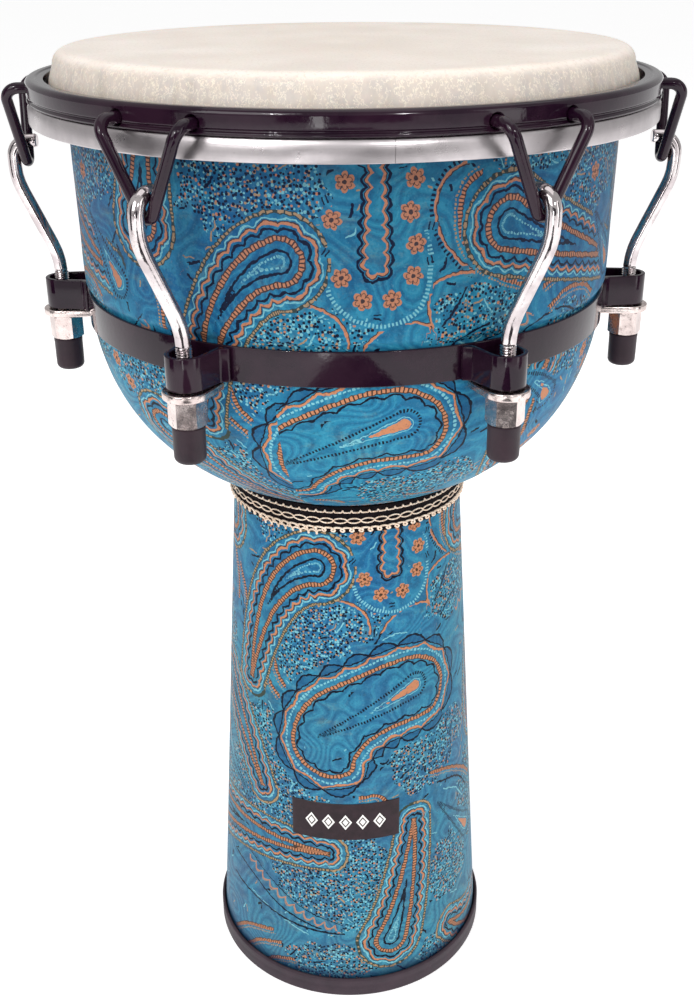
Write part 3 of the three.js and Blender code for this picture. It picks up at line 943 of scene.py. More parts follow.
def printed(places, figures):
    """What is printed at the corners of each quad: (a, b, kind) and (x, y, speckle)."""
    flat, corners = places.reshape(-1, 2), quads_of(*places.shape[:2])
    ink = np.zeros((len(corners), 4, 3))
    taken = np.zeros(len(corners), bool)
    for figure in figures:
        low, high = figure.box()
        for k in COPIES:
            moved = flat - (k * REPEAT, 0)
            near = ((moved > low) & (moved < high)).all(axis=1)
            if not near.any():
                continue
            a, b = np.full(len(flat), np.nan), np.full(len(flat), np.nan)
            a[near], b[near] = figure.read(moved[near])
            quads = near[corners].all(axis=1) & ~taken
            chosen = corners[quads]
            owned = figure.owns(a[chosen].mean(axis=1), b[chosen].mean(axis=1))
            numbers = np.flatnonzero(quads)[owned]
            ink[numbers, :, 0], ink[numbers, :, 1] = a[corners[numbers]], b[corners[numbers]]
            ink[numbers, :, 2] = figure.kind
            taken[numbers] = True
    ground = np.concatenate([flat, speckle_at(flat)[:, None]], axis=1)[corners]
    ground[taken, :, 2] = -1
    return ink, ground


def band_ramps(paint, value, low, high, bands, which):
    """The ink and its cover across a set of bands."""
    bare = (0, 0, 0, 0)
    stops = [(0.0, bare)]
    for band in bands:
        start, end = ((edge - low) / (high - low) for edge in band[:2])
        if stops[-1][0] >= start - 1e-6:
            stops.pop()
        stops += [(max(start, 0.0), (*band[which], 1) if band[which] else bare), (end, bare)]
    share = paint.math("DIVIDE", paint.math("SUBTRACT", value, low), high - low)
    return paint.ramp(share, stops)


def is_kind(paint, kind, chosen):
    return paint.math("COMPARE", kind, float(chosen), 0.01)


def bulged(paint, a, b, period, rise):
    """The distance from a figure's line, less the rise of its scallops."""
    wave = paint.math("ABSOLUTE", paint.math("SINE", paint.times(b, math.pi / period)))
    return paint.math("SUBTRACT", a, paint.times(wave, rise))


def kind_bands(paint, base, a, b, kind, chosen, table):
    """The base with one kind of banded motif printed over it."""
    mine = is_kind(paint, kind, chosen)
    low, high = table["reach"][0] - 2.0, table["reach"][1] + 2.0
    straight = table["straight"]
    if straight:
        stitch = paint.math("LESS_THAN", paint.math("FRACT", paint.math("DIVIDE", b, table["pitch"])), table["share"])
        inked, cover = band_ramps(paint, a, low, high, straight, 2)
        if any(band[2] != band[3] for band in straight):
            between, between_cover = band_ramps(paint, a, low, high, straight, 3)
            inked = paint.mix(stitch, between, inked)
            cover = paint.mix(stitch, between_cover, cover)
        base = paint.mix(paint.times(cover, mine), base, inked)
    period, rise, bands = table["scallops"]
    if bands:
        inked, cover = band_ramps(paint, bulged(paint, a, b, period, rise), low, high, bands, 2)
        base = paint.mix(paint.times(cover, mine), base, inked)
    return base


def cloud_scallops(paint, base, a, b, kind):
    """A chain of dark lenses round the outside of a cloud, and navy arcs inside it."""
    mine = is_kind(paint, kind, CLOUD)
    outer, inner, inside = (bulged(paint, a, b, *bulge) for bulge in ((16, 4.6), (16, -1.2), (13, 2.2)))
    lens = paint.times(paint.math("LESS_THAN", outer, 10.6), paint.math("GREATER_THAN", inner, 10.4))
    base = paint.mix(paint.times(lens, mine, 0.6), base, (0.004, 0.06, 0.16))
    for arcs, middle, half in ((outer, 10.6, 0.7), (inner, 10.7, 0.45), (inside, -4.6, 0.65)):
        base = paint.mix(paint.times(paint.math("COMPARE", arcs, middle, half), mine), base, NAVY)
    return base


def flower_stamps(paint, base, a, b, kind):
    """Six-petalled flowers with a dark eye and dark lines between the petals."""
    reach = paint.math("SQRT", paint.math("ADD", paint.times(a, a), paint.times(b, b)))
    lobe = paint.math("ABSOLUTE", paint.math("SINE", paint.times(paint.math("ARCTAN2", b, a), 3.0)))
    edge = paint.math("ADD", paint.times(lobe, 1.5), 3.5)
    petals = paint.math("LESS_THAN", reach, edge)
    rim = paint.math("COMPARE", reach, paint.math("SUBTRACT", edge, 1.5), 0.28)
    gap = paint.times(paint.math("LESS_THAN", lobe, 0.26), paint.math("GREATER_THAN", reach, 1.9))
    eye = paint.math("LESS_THAN", reach, 1.05)
    marks = paint.math("MAXIMUM", paint.math("MAXIMUM", eye, paint.times(rim, 0.75)), gap)
    ink = paint.mix(paint.times(marks, petals), ORANGE, BROWN)
    return paint.mix(paint.times(petals, is_kind(paint, kind, FLOWER)), base, ink)


def dash_stamps(paint, base, a, b, kind):
    """Pairs of short navy dashes."""
    bars = paint.math("COMPARE", paint.math("ABSOLUTE", a), 0.95, 0.38)
    short = paint.math("LESS_THAN", paint.math("ABSOLUTE", b), 1.9)
    return paint.mix(paint.times(bars, short, is_kind(paint, kind, DASHES)), base, NAVY)


def speckles(paint, base, flat, field):
    """Aqua, tan and orange dots with navy ones over them, inside the field."""
    layers = ((0.60, 0.30, 0.52, [(0.0, (*AQUA, 1)), (0.30, (*TAN, 1)), (0.42, (*ORANGE, 1)), (0.50, (0, 0, 0, 0))]),
              (0.43, 0.22, 0.36, [(0.0, (*NAVY, 1)), (0.88, (0, 0, 0, 0))]))
    for scale, least, most, inks in layers:
        cells = paint.cells(flat, scale, dimensions="2D")
        pick, size, _ = paint.split(cells.outputs["Color"])
        dots, cover = paint.ramp(pick, inks)
        small = paint.math("LESS_THAN", cells.outputs["Distance"], paint.between(size, 0.0, 1.0, least, most))
        base = paint.mix(paint.times(small, cover, field), base, dots)
    return base


def cloth_material():
    """Printed cotton under a satin clear coat: blue ground, scattered dots and banded paisley figures, with painted
    shade towards the top of the bowl.
    """
    paint = Paint("printed_cloth")
    a, b, kind = paint.attribute("print")
    x, y, dotted = paint.attribute("cloth")
    cloud = paint.noise(9, 3, 0.5)
    wash = paint.noise(60, 5, 0.65)
    flow = paint.noise(24, 1, 0.4)
    shake = paint.noise(330, 2, 0.5)
    a = paint.math("ADD", a, paint.between(shake, 0.2, 0.8, -0.55, 0.55))
    base = paint.mix(paint.between(cloud, 0.38, 0.62), BLUE, TEAL)
    z = paint.split(paint.place)[2]
    base = paint.tint(base, z, 0.40, 0.02, 0.34, (0.09, 0.17, 0.18))
    dirt = paint.noise(48, 5, 0.75, 2.2)
    base = paint.tint(base, dirt, 0.52, 0.74, 0.55, (0.13, 0.20, 0.17))
    base = paint.tint(base, wash, 0.35, 0.7, 0.45, (0.03, 0.25, 0.38))
    ripple = paint.math("SINE", paint.math("ADD", paint.times(flow, 110), paint.times(wash, 9)))
    base = paint.tint(base, ripple, 0.0, 1.0, 0.42, (0.003, 0.05, 0.14))
    base = paint.mix(paint.between(ripple, -1.0, -0.7, 0.22, 0.0), base, (0.06, 0.34, 0.45))
    worn = paint.noise(170, 4, 0.7)
    grain = paint.noise(620, 3, 0.7)
    base = paint.tint(base, grain, 0.46, 0.20, 0.30, (0.16, 0.36, 0.42))
    base = paint.tint(base, worn, 0.58, 0.80, 0.30, (0.15, 0.24, 0.25))
    base = speckles(paint, base, paint.flat(x, y), paint.math("GREATER_THAN", dotted, 0.0))
    for chosen, table in BANDS.items():
        base = kind_bands(paint, base, a, b, kind, chosen, table)
    for printed_over in (cloud_scallops, flower_stamps, dash_stamps):
        base = printed_over(paint, base, a, b, kind)
    base = paint.tint(base, grain, 0.50, 0.80, 0.55, (0.004, 0.022, 0.05))
    base = paint.tint(base, worn, 0.60, 0.80, 0.12, (0.15, 0.24, 0.25))
    # Painted shade: the bowl darkens towards its top, under the hoops that keep the light from above off it.
    base = paint.tint(base, z, 0.43, 0.53, 0.34, (0.002, 0.010, 0.045))
    base = paint.mix(paint.between(z, 0.015, 0.024, 0.75, 0.0), base, (0.004, 0.012, 0.045))
    weave = paint.noise(1500, 2, 0.6)
    lumps = paint.noise(130, 3, 0.5)
    fine = paint.bump(weave, 0.00025, 0.35)
    normal = paint.bump(lumps, 0.0006, 0.25, fine)
    paint.set(Base_Color=base, Roughness=paint.between(wash, 0.3, 0.7, 0.42, 0.56), Normal=normal)
    return paint.set(Specular_IOR_Level=0.10, Coat_Weight=0.04, Coat_Roughness=0.22)


# ---- The shell and what is glued to it ----

def fibreglass_shell(material):
    outline = rounded(refined(section("shell"), 4 * MM), 1.0 * MM)
    make_piece("shell_moulding", lathe(outline, 192), material, "drum_body", "shell")


def sheet_runs(outline):
    """The outer and inner runs of a thin sheet's outline, both from its foot up."""
    half = len(outline) // 2

    def split(k):
        turned = np.roll(outline, -k, axis=0)
        return turned[:half], turned[half:][::-1]

    def misfit(k):
        outer, inner = split(k)
        return round(float(length(outer - inner).sum()), 6), -float(outer[:, 0].mean())

    return split(min(range(len(outline)), key=misfit))


PRINT_R = 3 * REPEAT / TURN
DART = math.radians(-14)
GORE = TURN / 6
DART_TOP_Y, DART_R = 450.0, 147.0
SEAM_TOP, SEAM_FADE = 0.436, 0.02


def seam_ridge(azimuth, seams, radius, height=0.00035, half=0.0011):
    """How far the cloth stands proud near its overlapped seams."""
    off = min(abs((azimuth - s + math.pi) % TURN - math.pi) for s in seams)
    return height * np.exp(-((off * radius / half) ** 2))


def cloth_piece(name, node, columns, start, panels, place_at, seams, fade):
    """A glued sheet of printed cloth, fine enough to carry the print in its corners' values."""
    outer, inner = sheet_runs(section(node))
    outer = refined(outer, CLOTH_STEP * MM, closed=False)
    inner = refined(inner, 14 * MM, closed=False)[::-1]
    ring, rows = np.concatenate([outer, inner]), len(outer)

    def seamed(azimuth, outline):
        outside = np.arange(len(outline)) < rows
        return seam_ridge(azimuth, seams, outline[:, 0]) * fade(outline[:, 1]) * outside, 0

    piece = make_piece(name, lathe(ring, columns, seamed, start), CLOTH, "drum_body", node)
    run = run_along(outer)
    each = columns // panels
    inks, grounds = [], []
    for panel in range(panels):
        azimuths = start + (panel * each + np.arange(each + 1)) * TURN / columns
        places = place_at(azimuths[:, None], outer[:, 0][None] / MM, run[None] / MM, azimuths[each // 2])
        ink, ground = printed(stacked(*places), FIGURES)
        inks.append(ink.reshape(each, rows - 1, 4, 3))
        grounds.append(ground.reshape(each, rows - 1, 4, 3))
    for label, parts, bare in (("print", inks, 0), ("cloth", grounds, -1)):
        values = np.zeros((columns, len(ring), 4, 3), np.float32)
        values[:, :rows - 1] = np.concatenate(parts)
        values[:, rows - 1:, :, 2] = bare
        store(piece, label, "CORNER", values)
    return piece


def bowl_cloth():
    """The bowl's sheet: a straight band above, taken in by six darts below the belt."""
    top = heights("bowl_cloth")[1]

    def place_at(azimuth, radius, run, middle):
        y = top - (run[:, -1:] - run)
        shrunk = np.where(y > DART_TOP_Y, 0, np.minimum(radius - DART_R, 0))
        return middle * PRINT_R + (azimuth - middle) * (PRINT_R + shrunk), y

    seams = [DART + k * GORE for k in range(6)]
    piece = cloth_piece("bowl_print", "bowl_cloth", BOWL_COLUMNS, DART - 3 * GORE, 6, place_at, seams,
                        lambda z: np.clip((SEAM_TOP - z) / SEAM_FADE, 0, 1))


def stem_cloth():
    """The stem's sheet: one wrap with its seam at the back."""
    foot = heights("stem_cloth")[0]

    def place_at(azimuth, radius, run, middle):
        return azimuth * radius - 12, run + foot + 200

    piece = cloth_piece("stem_print", "stem_cloth", STEM_COLUMNS, -math.pi, 1, place_at, [math.pi],
                        lambda z: np.ones_like(z))


def ring_line(count, each, radius, height, start=0.0, sweep=TURN, swing=0.0):
    """A line round the drum, as functions of the angle within each repeat. A swing draws it into loops."""
    steps = count * each
    t = np.arange(steps + (sweep != TURN)) / steps
    turn = t * count * TURN
    azimuth = start + t * sweep + swing * sweep / count * np.sin(turn)
    return at_azimuth(azimuth, radius(turn) * MM, height(turn) * MM)


def waist_trim(dark, light):
    """Gimp braid: a black band with a nubbed cord, a row of long ovals and a cord of slanted loops."""
    low, high = heights("waist_trim")
    r = reach_of("waist_trim")
    face = r - 1.0

    def ribbed(azimuth, outline):
        ribs = 0.15 * MM * math.sin(azimuth * 310)
        return np.where(outline[:, 0] > (r - 1.2) * MM, ribs - 1.0 * MM, 0), 0

    def looped(middle, size, rise, count, swing, out=0.0, start=0.0, sweep=TURN):
        line = ring_line(count, 12, lambda a: face + out + 0.45 + 0.3 * np.sin(a),
                         lambda a: middle + rise * np.cos(a), start, sweep, swing)
        return tube(line, size * MM, 7, sweep == TURN)

    def nubs(a):
        return high - 3.9 + 1.3 * np.exp(-((a % TURN - math.pi) / 0.5) ** 2)

    def ovals(side):
        return lambda a: low + 7.9 + side * (0.15 + 1.35 * np.abs(np.sin(a / 2)) ** 0.6)

    cords = [looped(low + 2.3, 0.58, 1.25, 84, 0.42)]
    for each, count, height, size in ((22, 88, nubs, 0.46), (12, 57, ovals(1), 0.42), (12, 57, ovals(-1), 0.42)):
        line = ring_line(count, each, lambda a: np.full_like(a, face + 0.3), height)
        cords.append(tube(line, size * MM, 7, True))
    band = lathe(rounded(refined(section("waist_trim"), 1.2 * MM), 0.4 * MM), 930, ribbed)
    lap = looped(low + 0.5, 0.52, 1.3, 8, 0.26, 0.7, math.radians(-43), math.radians(31))
    for name, solid, material in (("waist_braid", band, dark), ("waist_braid_cords", joined(cords), light),
                                  ("waist_braid_lap", lap, light)):
        make_piece(name, solid, material, "drum_body", "waist_trim")


def rubber_foot(material):
    """The foot ring, with eased edges and a fine moulded line round its side."""
    outline = refined(rounded(section("rubber_foot"), 1.6 * MM, steps=6), 1.5 * MM)
    high = outline[:, 1].max()

    def moulded(_, ring):
        line = np.exp(-(((ring[:, 1] - high * 0.62) / (0.5 * MM)) ** 2))
        return np.where(ring[:, 0] > ring[:, 0].max() - 0.4 * MM, -0.3 * MM * line, 0), 0

    make_piece("foot_ring", lathe(outline, 240, moulded), material, "drum_body", "rubber_foot")


def badge(material):
    """A thin printed label that follows the stem."""
    low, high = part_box("badge")
    stem = section("stem_cloth")
    foot, top = stem[stem[:, 0].argmax()], stem[stem[:, 1].argmax()]
    slope = (top[0] - foot[0]) / (top[1] - foot[1])
    middle_z = (low.z + high.z) / 2
    middle_a = math.atan2((low.x + high.x) / 2, -(low.y + high.y) / 2)
    columns, rows = 57, 23
    u = np.linspace(-1, 1, columns) * (high.x - low.x) / 2 * 1.018
    v = np.linspace(-1, 1, rows) * (high.z - low.z) / 2

    def layer(lift, inset):
        vs, us = np.meshgrid(v * (1 - inset / v[-1]), u * (1 - inset / u[-1]), indexing="ij")
        z = middle_z + vs
        radius = foot[0] + slope * (z - foot[1]) + lift
        return at_azimuth(middle_a + us / radius, radius, z), np.stack([us, vs, np.zeros_like(us)], axis=-1)

    skins = [layer(0.00012, 0), layer(0.00040, 0), layer(0.00055, 0.00018)]
    points = np.concatenate([p.reshape(-1, 3) for p, _ in skins])
    marks = np.concatenate([m.reshape(-1, 3) for _, m in skins]) / MM
    edge = list(range(columns)) + [(j + 1) * columns - 1 for j in range(1, rows)]
    edge += [(rows - 1) * columns + i for i in range(columns - 2, -1, -1)]
    edge += [j * columns for j in range(rows - 2, 0, -1)]
    size, n = rows * columns, len(edge)
    faces = [face[::-1] for face in grid_faces(rows, columns)]
    faces += grid_faces(rows, columns, first=2 * size)
    for first in (0, size):
        faces += [[edge[i] + first, edge[(i + 1) % n] + first, edge[(i + 1) % n] + first + size,
                   edge[i] + first + size] for i in range(n)]
    piece = make_piece("stem_label", (points, faces), material, "drum_body", "badge")
    store(piece, "label", "POINT", marks)


# ---- The rings and the skin ----

def lug_belt(material):
    belt = lathe(rounded(section("lug_belt"), 0.5 * MM), 240)
    make_piece("belt", belt, material, "drum_body", "lug_belt")


def flesh_hoop(material):
    """The aluminium hoop, open at its butt seam by a hair."""
    outline = rounded(section("flesh_hoop"), 0.7 * MM)
    seam, gap = math.radians(7.4), 0.16 / reach_of("flesh_hoop")
    hoop = lathe(outline, 289, start=seam + gap / 2, sweep=TURN - gap)
    make_piece("skin_hoop", hoop, material, "head_assembly", "flesh_hoop")


def drilled(name, base, cutter):
    """Points and faces of a mesh with another cut from it."""
    whole, cut = (placed(name + "_blank", new_mesh(name + "_blank", *solid)) for solid in (base, cutter))
    modifier = whole.modifiers.new("holes", "BOOLEAN")
    modifier.operation, modifier.solver, modifier.object = "DIFFERENCE", "EXACT", cut
    evaluated = whole.evaluated_get(bpy.context.evaluated_depsgraph_get())
    mesh = bpy.data.meshes.new_from_object(evaluated)
    for leftover in (whole, cut):
        bpy.data.objects.remove(leftover)
    return [tuple(v.co) for v in mesh.vertices], [list(p.vertices) for p in mesh.polygons]


def hook_hole(azimuth):
    """A cutter for one blind hole in the pressure ring, with an eased mouth."""
    edge = reach_of("counterhoop")
    stations = [(HOOK_HOLE_FLOOR, HOOK_HOLE_R), (edge - 0.7, HOOK_HOLE_R), (edge + 0.3, HOOK_HOLE_R + 0.9),
                (edge + 6, HOOK_HOLE_R + 0.9)]
    line = [[0, -r, HOOK_EYE_Z] for r, _ in stations]
    points, faces = tube(np.array(line) * MM, np.array([size for _, size in stations]) * MM, 32)
    return turned_to(points, azimuth), faces


def counterhoop(material):
    """The black pressure ring: a rolled upper edge, a groove and a bead, and twelve holes for the V-hooks."""
    inner = section("counterhoop")[:, 0].min() / MM
    low, high = heights("counterhoop")
    r = reach_of("counterhoop")
    outline = np.concatenate([
        [(inner, low), (r - 0.7, low), (r, low + 0.7), (r, low + 1.4), (r - 0.9, low + 2.2), (r - 0.9, low + 2.7),
         (r, low + 3.5)],
        arc((r - 2.9, high - 2.9), 2.9, 0, 90, 8), [(r - 5.2, high), (r - 6.0, high - 0.7), (inner, high - 0.7)]]) * MM
    holes = [hook_hole(azimuth + side * HOOK_SPREAD) for azimuth in HOOKS.values() for side in (-1, 1)]
    ring = drilled("pressure_ring", lathe(rounded(outline, 0.35 * MM, steps=3), 288), joined(holes))
    make_piece("pressure_ring", ring, material, "head_assembly", "counterhoop")


def drumhead(material):
    """The skin, with creases and pleats down its skirt and a faint slackness over its face."""
    outline = refined(section("drumhead"), 2.2 * MM, corner=math.radians(40))
    foot = int(outline[:, 1].argmin())
    top = outline[:, 1].max()
    count = 150
    where = rng.uniform(0, TURN, count)
    width = np.radians(rng.uniform(0.25, 1.0, count))
    depth = rng.uniform(0.12, 0.50, count) * MM
    start = rng.uniform(-0.002, 0.016, count)
    phases = rng.uniform(0, TURN, 4)
    flat_r = outline[foot:, 0][outline[foot:, 1] > top - 0.05 * MM].max()

    def crease_at(azimuth, ring):
        off = (azimuth - where + math.pi) % TURN - math.pi
        line = np.exp(-((off / width) ** 2)) * depth
        below = np.clip((top - start[:, None] - ring[None, :, 1]) / (7 * MM), 0, 1)
        return (line[:, None] * below**1.5).sum(axis=0)

    is_outer = np.arange(int((outline[:, 0] > ON_AXIS).sum())) >= foot - 1

    def slack(azimuth, ring):
        skirt = np.clip((top - ring[:, 1]) / (6 * MM), 0, 1) * is_outer
        waves = sum(math.sin(azimuth * n + p) for n, p in zip((9, 23, 41, 67), phases)) * 0.10 * MM
        inwards = np.minimum(crease_at(azimuth, ring), 0.9 * MM)
        face = np.clip((flat_r - ring[:, 0]) / (20 * MM), 0, 1) * is_outer * (ring[:, 1] > top - 0.5 * MM)
        ripple = np.sin(ring[:, 0] * 130 + 3 * np.sin(azimuth * 2 + 1)) * math.sin(azimuth * 3 + 0.6)
        return skirt * (waves - inwards), -face * (0.03 + 0.03 * ripple) * MM

    solid = lathe(outline, HEAD_COLUMNS, slack)
    piece = make_piece("skin", solid, material, "head_assembly", "drumhead")
    ring = outline[outline[:, 0] > ON_AXIS]
    # How deep each crease is, which the skin's material turns into painted shade.
    marks = np.zeros((len(solid[0]), 3))
    for i in range(HEAD_COLUMNS):
        dark = crease_at(i * TURN / HEAD_COLUMNS, ring) * is_outer / (0.8 * MM)
        marks[i * len(ring):(i + 1) * len(ring), 0] = np.clip(dark, 0, 1)
    store(piece, "crease", "POINT", marks)


# ---- One lug, drawn at the front: x is sideways, y is minus the radius ----

def nose_arc(nose, width):
    """One side of a U round the rod, from where its straight leg ends to just short of the nose."""
    r = width / 2
    angles = np.radians(np.arange(90, 0, -6))
    return np.stack([r * np.sin(angles), -nose + r - r * np.cos(angles)], axis=1)


def both_sides(side, nose):
    """Carries the right side of an outline round its nose and back up the left side."""
    return np.concatenate([side, [[0, -nose]], (side * (-1, 1))[::-1]])


def bracket_shape():
    """A strap bent round the rod, welded to the belt by its two turned-out ends."""
    nose, width, strap = BRACKET["nose"], BRACKET["width"], BRACKET["strap"]
    flare, flange = BRACKET["flare"], BRACKET["flange"]
    leg = width / 2 + BRACKET["spread"]
    outer = np.concatenate([[[flare, -SEAT_R], [flare, -SEAT_R - flange], [leg, -SEAT_R - 2.5 * flange]],
                            nose_arc(nose, width)])
    inner = np.concatenate([[[leg - strap, -SEAT_R]], nose_arc(nose - strap, width - 2 * strap)])
    outline = np.concatenate([both_sides(outer, nose), both_sides(inner, nose - strap)[::-1]])
    low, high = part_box("lug_bracket_1")
    return prism(rounded(anticlockwise(outline) * MM, 0.9 * MM), low.z, high.z, 0.55 * MM)


def washer_shape():
    """A chrome U-plate; the rod passes through it."""
    nose, width = WASHER["nose"], WASHER["width"]
    side = np.concatenate([[[width / 2 - 1, -SEAT_R]], nose_arc(nose, width)])
    outline = rounded(anticlockwise(both_sides(side, nose)) * MM, 0.8 * MM)
    hole = arc((0, -AXIS_R), WASHER["bore"] * MM, 0, 360, 40)[:-1]
    low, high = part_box("lug_washer_1")
    return prism(outline, low.z, high.z, 0.8 * MM, hole)


def nut_shape():
    """A hexagon nut whose corners are turned off above and below."""
    low, high = (z * MM for z in heights("tuning_nut_1"))
    flat = NUT["flats"] / 2 * MM
    bore, ease, crown = NUT["bore"] * MM, 0.5 * MM, flat * 0.985
    columns = 96
    angle = np.arange(columns) * TURN / columns
    corner = flat / np.cos((angle + TURN / 12) % (TURN / 6) - TURN / 12)
    fall = (corner - crown) * NUT["chamfer"]
    rings = [(bore, high - ease), (bore, low + ease), (bore + ease, low), (crown, low), (corner, low + fall),
             (corner, high - fall), (crown, high), (bore + ease, high)]
    stack = [stacked(r * np.cos(angle), r * np.sin(angle) - AXIS_R, z)
             for r, z in rings]
    return np.concatenate(stack), grid_faces(len(rings), columns, wrap_rows=True, wrap_columns=True)


def cap_shape():
    """A rubber cap with a rounded foot and a rolled lip."""
    low, high = heights("nut_cap_1")
    outline = np.concatenate([
        [(0, low), (4.5, low)], arc((4.9, low + 3.2), 3.2, -84, -8, 7),
        [(8.15, low + 6), (8.2, high - 2.4), (8.3, high - 1.8), (8.3, high - 0.5), (7.8, high), (4.9, high),
         (4.8, low + 4.2), (0, low + 4.2)]])
    points, faces = lathe(outline * MM, 64)
    return points - np.array([0, AXIS_R, 0]), faces


def rod_shape(twist):
    """A chrome rod: rolled thread below, two easy bends, and a short hook over the V, twist further round."""
    turns = [twist * (i >= ROD_TWISTED) for i in range(len(ROD_CORNERS))]
    line = bent([tuple(at_azimuth(t, r, z)) for t, (r, z) in zip(turns, ROD_CORNERS)], ROD_BENDS, 0.25)
    run = run_along(line)
    threaded = line[:, 2] < THREAD["top"]
    keep = threaded & (line[:, 1] > -AXIS_R / MM - 2) | (np.arange(len(line)) % 5 == 0)
    keep[-1] = True
    line, run, threaded = line[keep], run[keep], threaded[keep]
    sides = 20
    turn = run[:, None] / THREAD["pitch"] - np.arange(sides)[None] / sides
    ridge = np.clip(1.35 * np.abs(2 * (turn % 1) - 1) - 0.15, 0, 1)
    cut = THREAD["root"] + (THREAD["crest"] - THREAD["root"]) * ridge
    fade = (np.clip((THREAD["top"] - line[:, 2]) / 1.5, 0, 1) * (line[:, 1] > -AXIS_R / MM - 3))[:, None]
    plain = eased_radii(line, ROD_R, 0.6)[:, None]
    radii = plain + (np.minimum(cut, plain + 0.4) - plain) * fade
    points, faces = tube(line * MM, radii * MM, sides)
    return points, faces


def hook_shape():
    """A black V of bent wire: its ends sit in the pressure ring, its point hangs over the rod's hook."""
    def spoke(side, r):
        angle = side * HOOK_SPREAD
        return r * math.sin(angle), -r * math.cos(angle), HOOK_EYE_Z

    corners = [spoke(-1, HOOK_END), spoke(-1, HOOK_OUT), (0, -HOOK_POINT[0], HOOK_POINT[1]), spoke(1, HOOK_OUT),
               spoke(1, HOOK_END)]
    line = bent(corners, HOOK_BENDS, 1.4)
    return tube(line * MM, eased_radii(line, HOOK_R, 0.5) * MM, 20)


def lugs():
    """The six lugs, each with its bracket, washer, nut, cap, rod and V-hook."""
    bracket, washer, nut, cap, wire = bracket_shape(), washer_shape(), nut_shape(), cap_shape(), hook_shape()
    for number, azimuth in LUGS.items():
        twist = HOOKS[number] - azimuth
        hook = turned_to(wire[0], twist), wire[1]
        for name, (points, faces), material, body, node, slot in (
                ("bracket", bracket, STEEL, "drum_body", "lug_bracket", "black_steel"),
                ("u_washer", washer, PLATE, "drum_body", "lug_washer", "chrome"),
                ("hex_nut", nut, PLATE, f"nut_{number}", "tuning_nut", "chrome"),
                ("rubber_cap", cap, CAP_RUBBER, f"nut_{number}", "nut_cap", "cap_rubber"),
                ("rod", rod_shape(twist), CHROME, "head_assembly", "tuning_rod", "chrome"),
                ("v_wire", hook, STEEL, "head_assembly", "v_hook", "black_steel")):
            solid = turned_to(points, azimuth), faces
            make_piece(f"{name}_{number}", solid, material, body, f"{node}_{number}")


# ---- Stage, lights and camera ----

def stage():
    """A plain pale floor."""
    bpy.ops.mesh.primitive_plane_add(size=60)
    floor = bpy.context.object
    floor.name = "floor"
    floor.location.z = -0.3 * MM
    paint = Paint("floor_paint")
    tone = paint.noise(3, 2, 0.5)
    paint.set(Base_Color=paint.mix(tone, (0.93, 0.93, 0.93), (0.95, 0.95, 0.95)), Roughness=0.9)
    paint.set(Specular_IOR_Level=0.1, Emission_Color=(1, 1, 1, 1), Emission_Strength=0.5)
    floor.data.materials.append(paint.material)


def aimed(thing, place, at):
    thing.location = place
    thing.rotation_euler = (Vector(at) - Vector(place)).to_track_quat("-Z", "Y").to_euler()


def softbox(name, place, at, width, height, watts):
    light = bpy.data.lights.new(name, "AREA")
    light.shape, light.size, light.size_y, light.energy = "RECTANGLE", width, height, watts
    aimed(placed(name, light), place, at)


def dark_card(name, place, at, width, height):
    """A dark card outside the picture, which only reflections see."""
    corners = [(x * width / 2, y * height / 2, 0) for x, y in ((-1, -1), (1, -1), (1, 1), (-1, 1))]
    card = placed(name, new_mesh(name, corners, [(0, 1, 2, 3)]))
    paint = Paint(name + "_paint")
    tone = paint.noise(2, 2, 0.5)
    paint.set(Base_Color=paint.mix(tone, (0.015, 0.013, 0.018), (0.03, 0.026, 0.034)), Roughness=0.9)
    card.data.materials.append(paint.material)
    aimed(card, place, at)
    card.visible_camera = card.visible_diffuse = card.visible_shadow = False


def studio_world():
    """White to the camera, and half as bright to everything else."""
    world = bpy.data.worlds.new("studio")
    bpy.context.scene.world = world
    world.use_nodes = True
    tree = world.node_tree
    background = tree.nodes["Background"]
    background.inputs["Color"].default_value = (1, 1, 1, 1)
    rays = tree.nodes.new("ShaderNodeLightPath")
    strength = tree.nodes.new("ShaderNodeMath")
    strength.operation = "MULTIPLY_ADD"
    strength.inputs[1].default_value = strength.inputs[2].default_value = 0.5
    tree.links.new(rays.outputs["Is Camera Ray"], strength.inputs[0])
    tree.links.new(strength.outputs[0], background.inputs["Strength"])


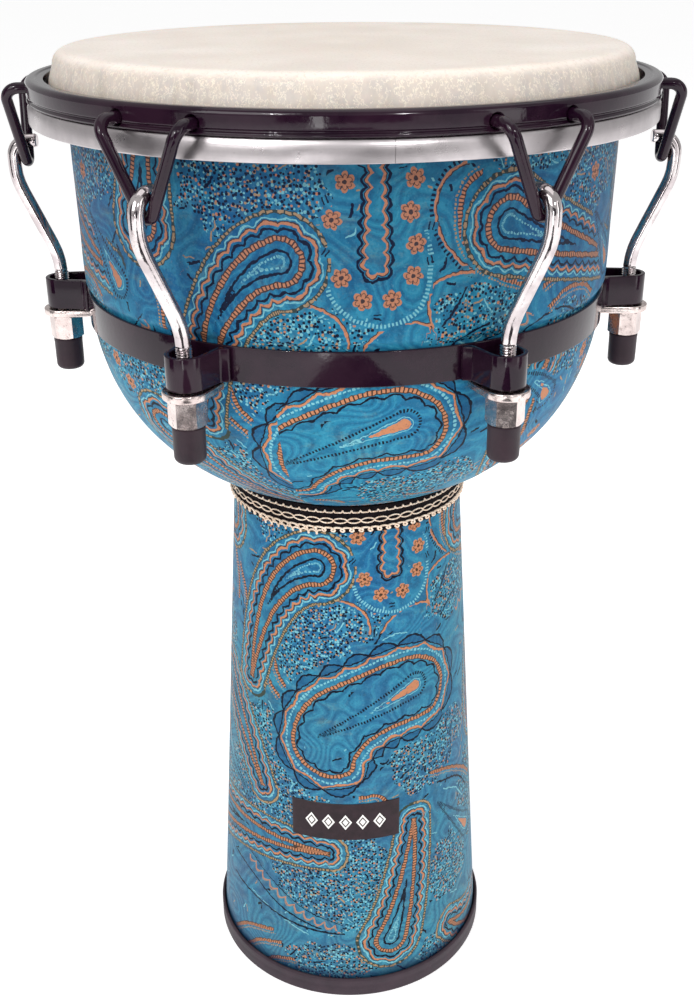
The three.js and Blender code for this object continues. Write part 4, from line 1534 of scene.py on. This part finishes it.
def lighting():
    """Large soft boxes, three small lamps for the gloss, and dark cards for the chrome."""
    studio_world()
    middle = (0, 0, 0.35)
    for name, place, width, height, watts in (
            ("key", (-1.5, -2.0, 2.1), 1.6, 1.6, 31), ("fill", (2.2, -1.2, 1.0), 1.2, 2.0, 13),
            ("top", (0.2, 0.4, 2.6), 2.2, 2.2, 12), ("lamp_left", (-0.9, -1.9, 2.0), 0.09, 0.09, 11),
            ("lamp_right", (0.8, -2.1, 1.8), 0.09, 0.09, 11), ("lamp_low", (-0.35, -2.4, 0.35), 0.16, 0.9, 3)):
        softbox(name, place, middle, width, height, watts)
    for name, place, at, width, height in (
            ("card_left", (-1.8, -0.7, 0.4), middle, 0.9, 2.4), ("card_right", (1.8, -0.7, 0.4), middle, 0.6, 2.4),
            ("card_far", (0, -3.2, 0.75), (0, 0, 0.75), 2.6, 1.3),
            ("card_front", (0.05, -1.6, 0.01), (0.05, -1.6, 1.0), 0.62, 1.7)):
        dark_card(name, place, at, width, height)
    bpy.context.scene.view_settings.view_transform = "Standard"


def camera():
    """A standing viewer's camera in front of the drum, a little above its head."""
    data = bpy.data.cameras.new("camera")
    data.sensor_width, data.lens = 36, 44.53
    thing = placed("camera", data)
    thing.location = (0, -0.7108, 0.6573)
    pitch, roll = math.radians(24.95), math.radians(-0.41)
    thing.rotation_mode = "QUATERNION"
    tilt = Matrix.Rotation(math.pi / 2 - pitch, 3, "X") @ Matrix.Rotation(roll, 3, "Z")
    thing.rotation_quaternion = tilt.to_quaternion()
    bpy.context.scene.camera = thing


# ---- Assembly ----

camera()
lighting()
stage()

FIGURES = motifs()
CLOTH = cloth_material()
STEEL = black_steel_material()
CHROME = chrome_material("chrome_rod", (0.76, 0.70, 0.70), (0.52, 0.46, 0.47), 0.35, 0.07, 0.20)
PLATE = chrome_material("chrome_nut", (0.80, 0.70, 0.67), (0.60, 0.50, 0.48), 0.70, 0.17, 0.33)
CAP_RUBBER = rubber_material("cap_rubber", (0.012, 0.004, 0.009), (0.027, 0.012, 0.019), 0.42, 0.60)

fibreglass_shell(fibreglass_material())
bowl_cloth()
stem_cloth()
waist_trim(braid_material("braid_black", (0.002, 0.002, 0.003), (0.014, 0.009, 0.011), 900),
           braid_material("braid_gold", (0.62, 0.43, 0.30), (1.0, 0.87, 0.74), 1100))
rubber_foot(rubber_material("foot_rubber", (0.022, 0.011, 0.019), (0.048, 0.029, 0.040), 0.55, 0.75))
badge(label_material())
lug_belt(STEEL)
flesh_hoop(aluminium_material())
counterhoop(STEEL)
drumhead(skin_material())
lugs()
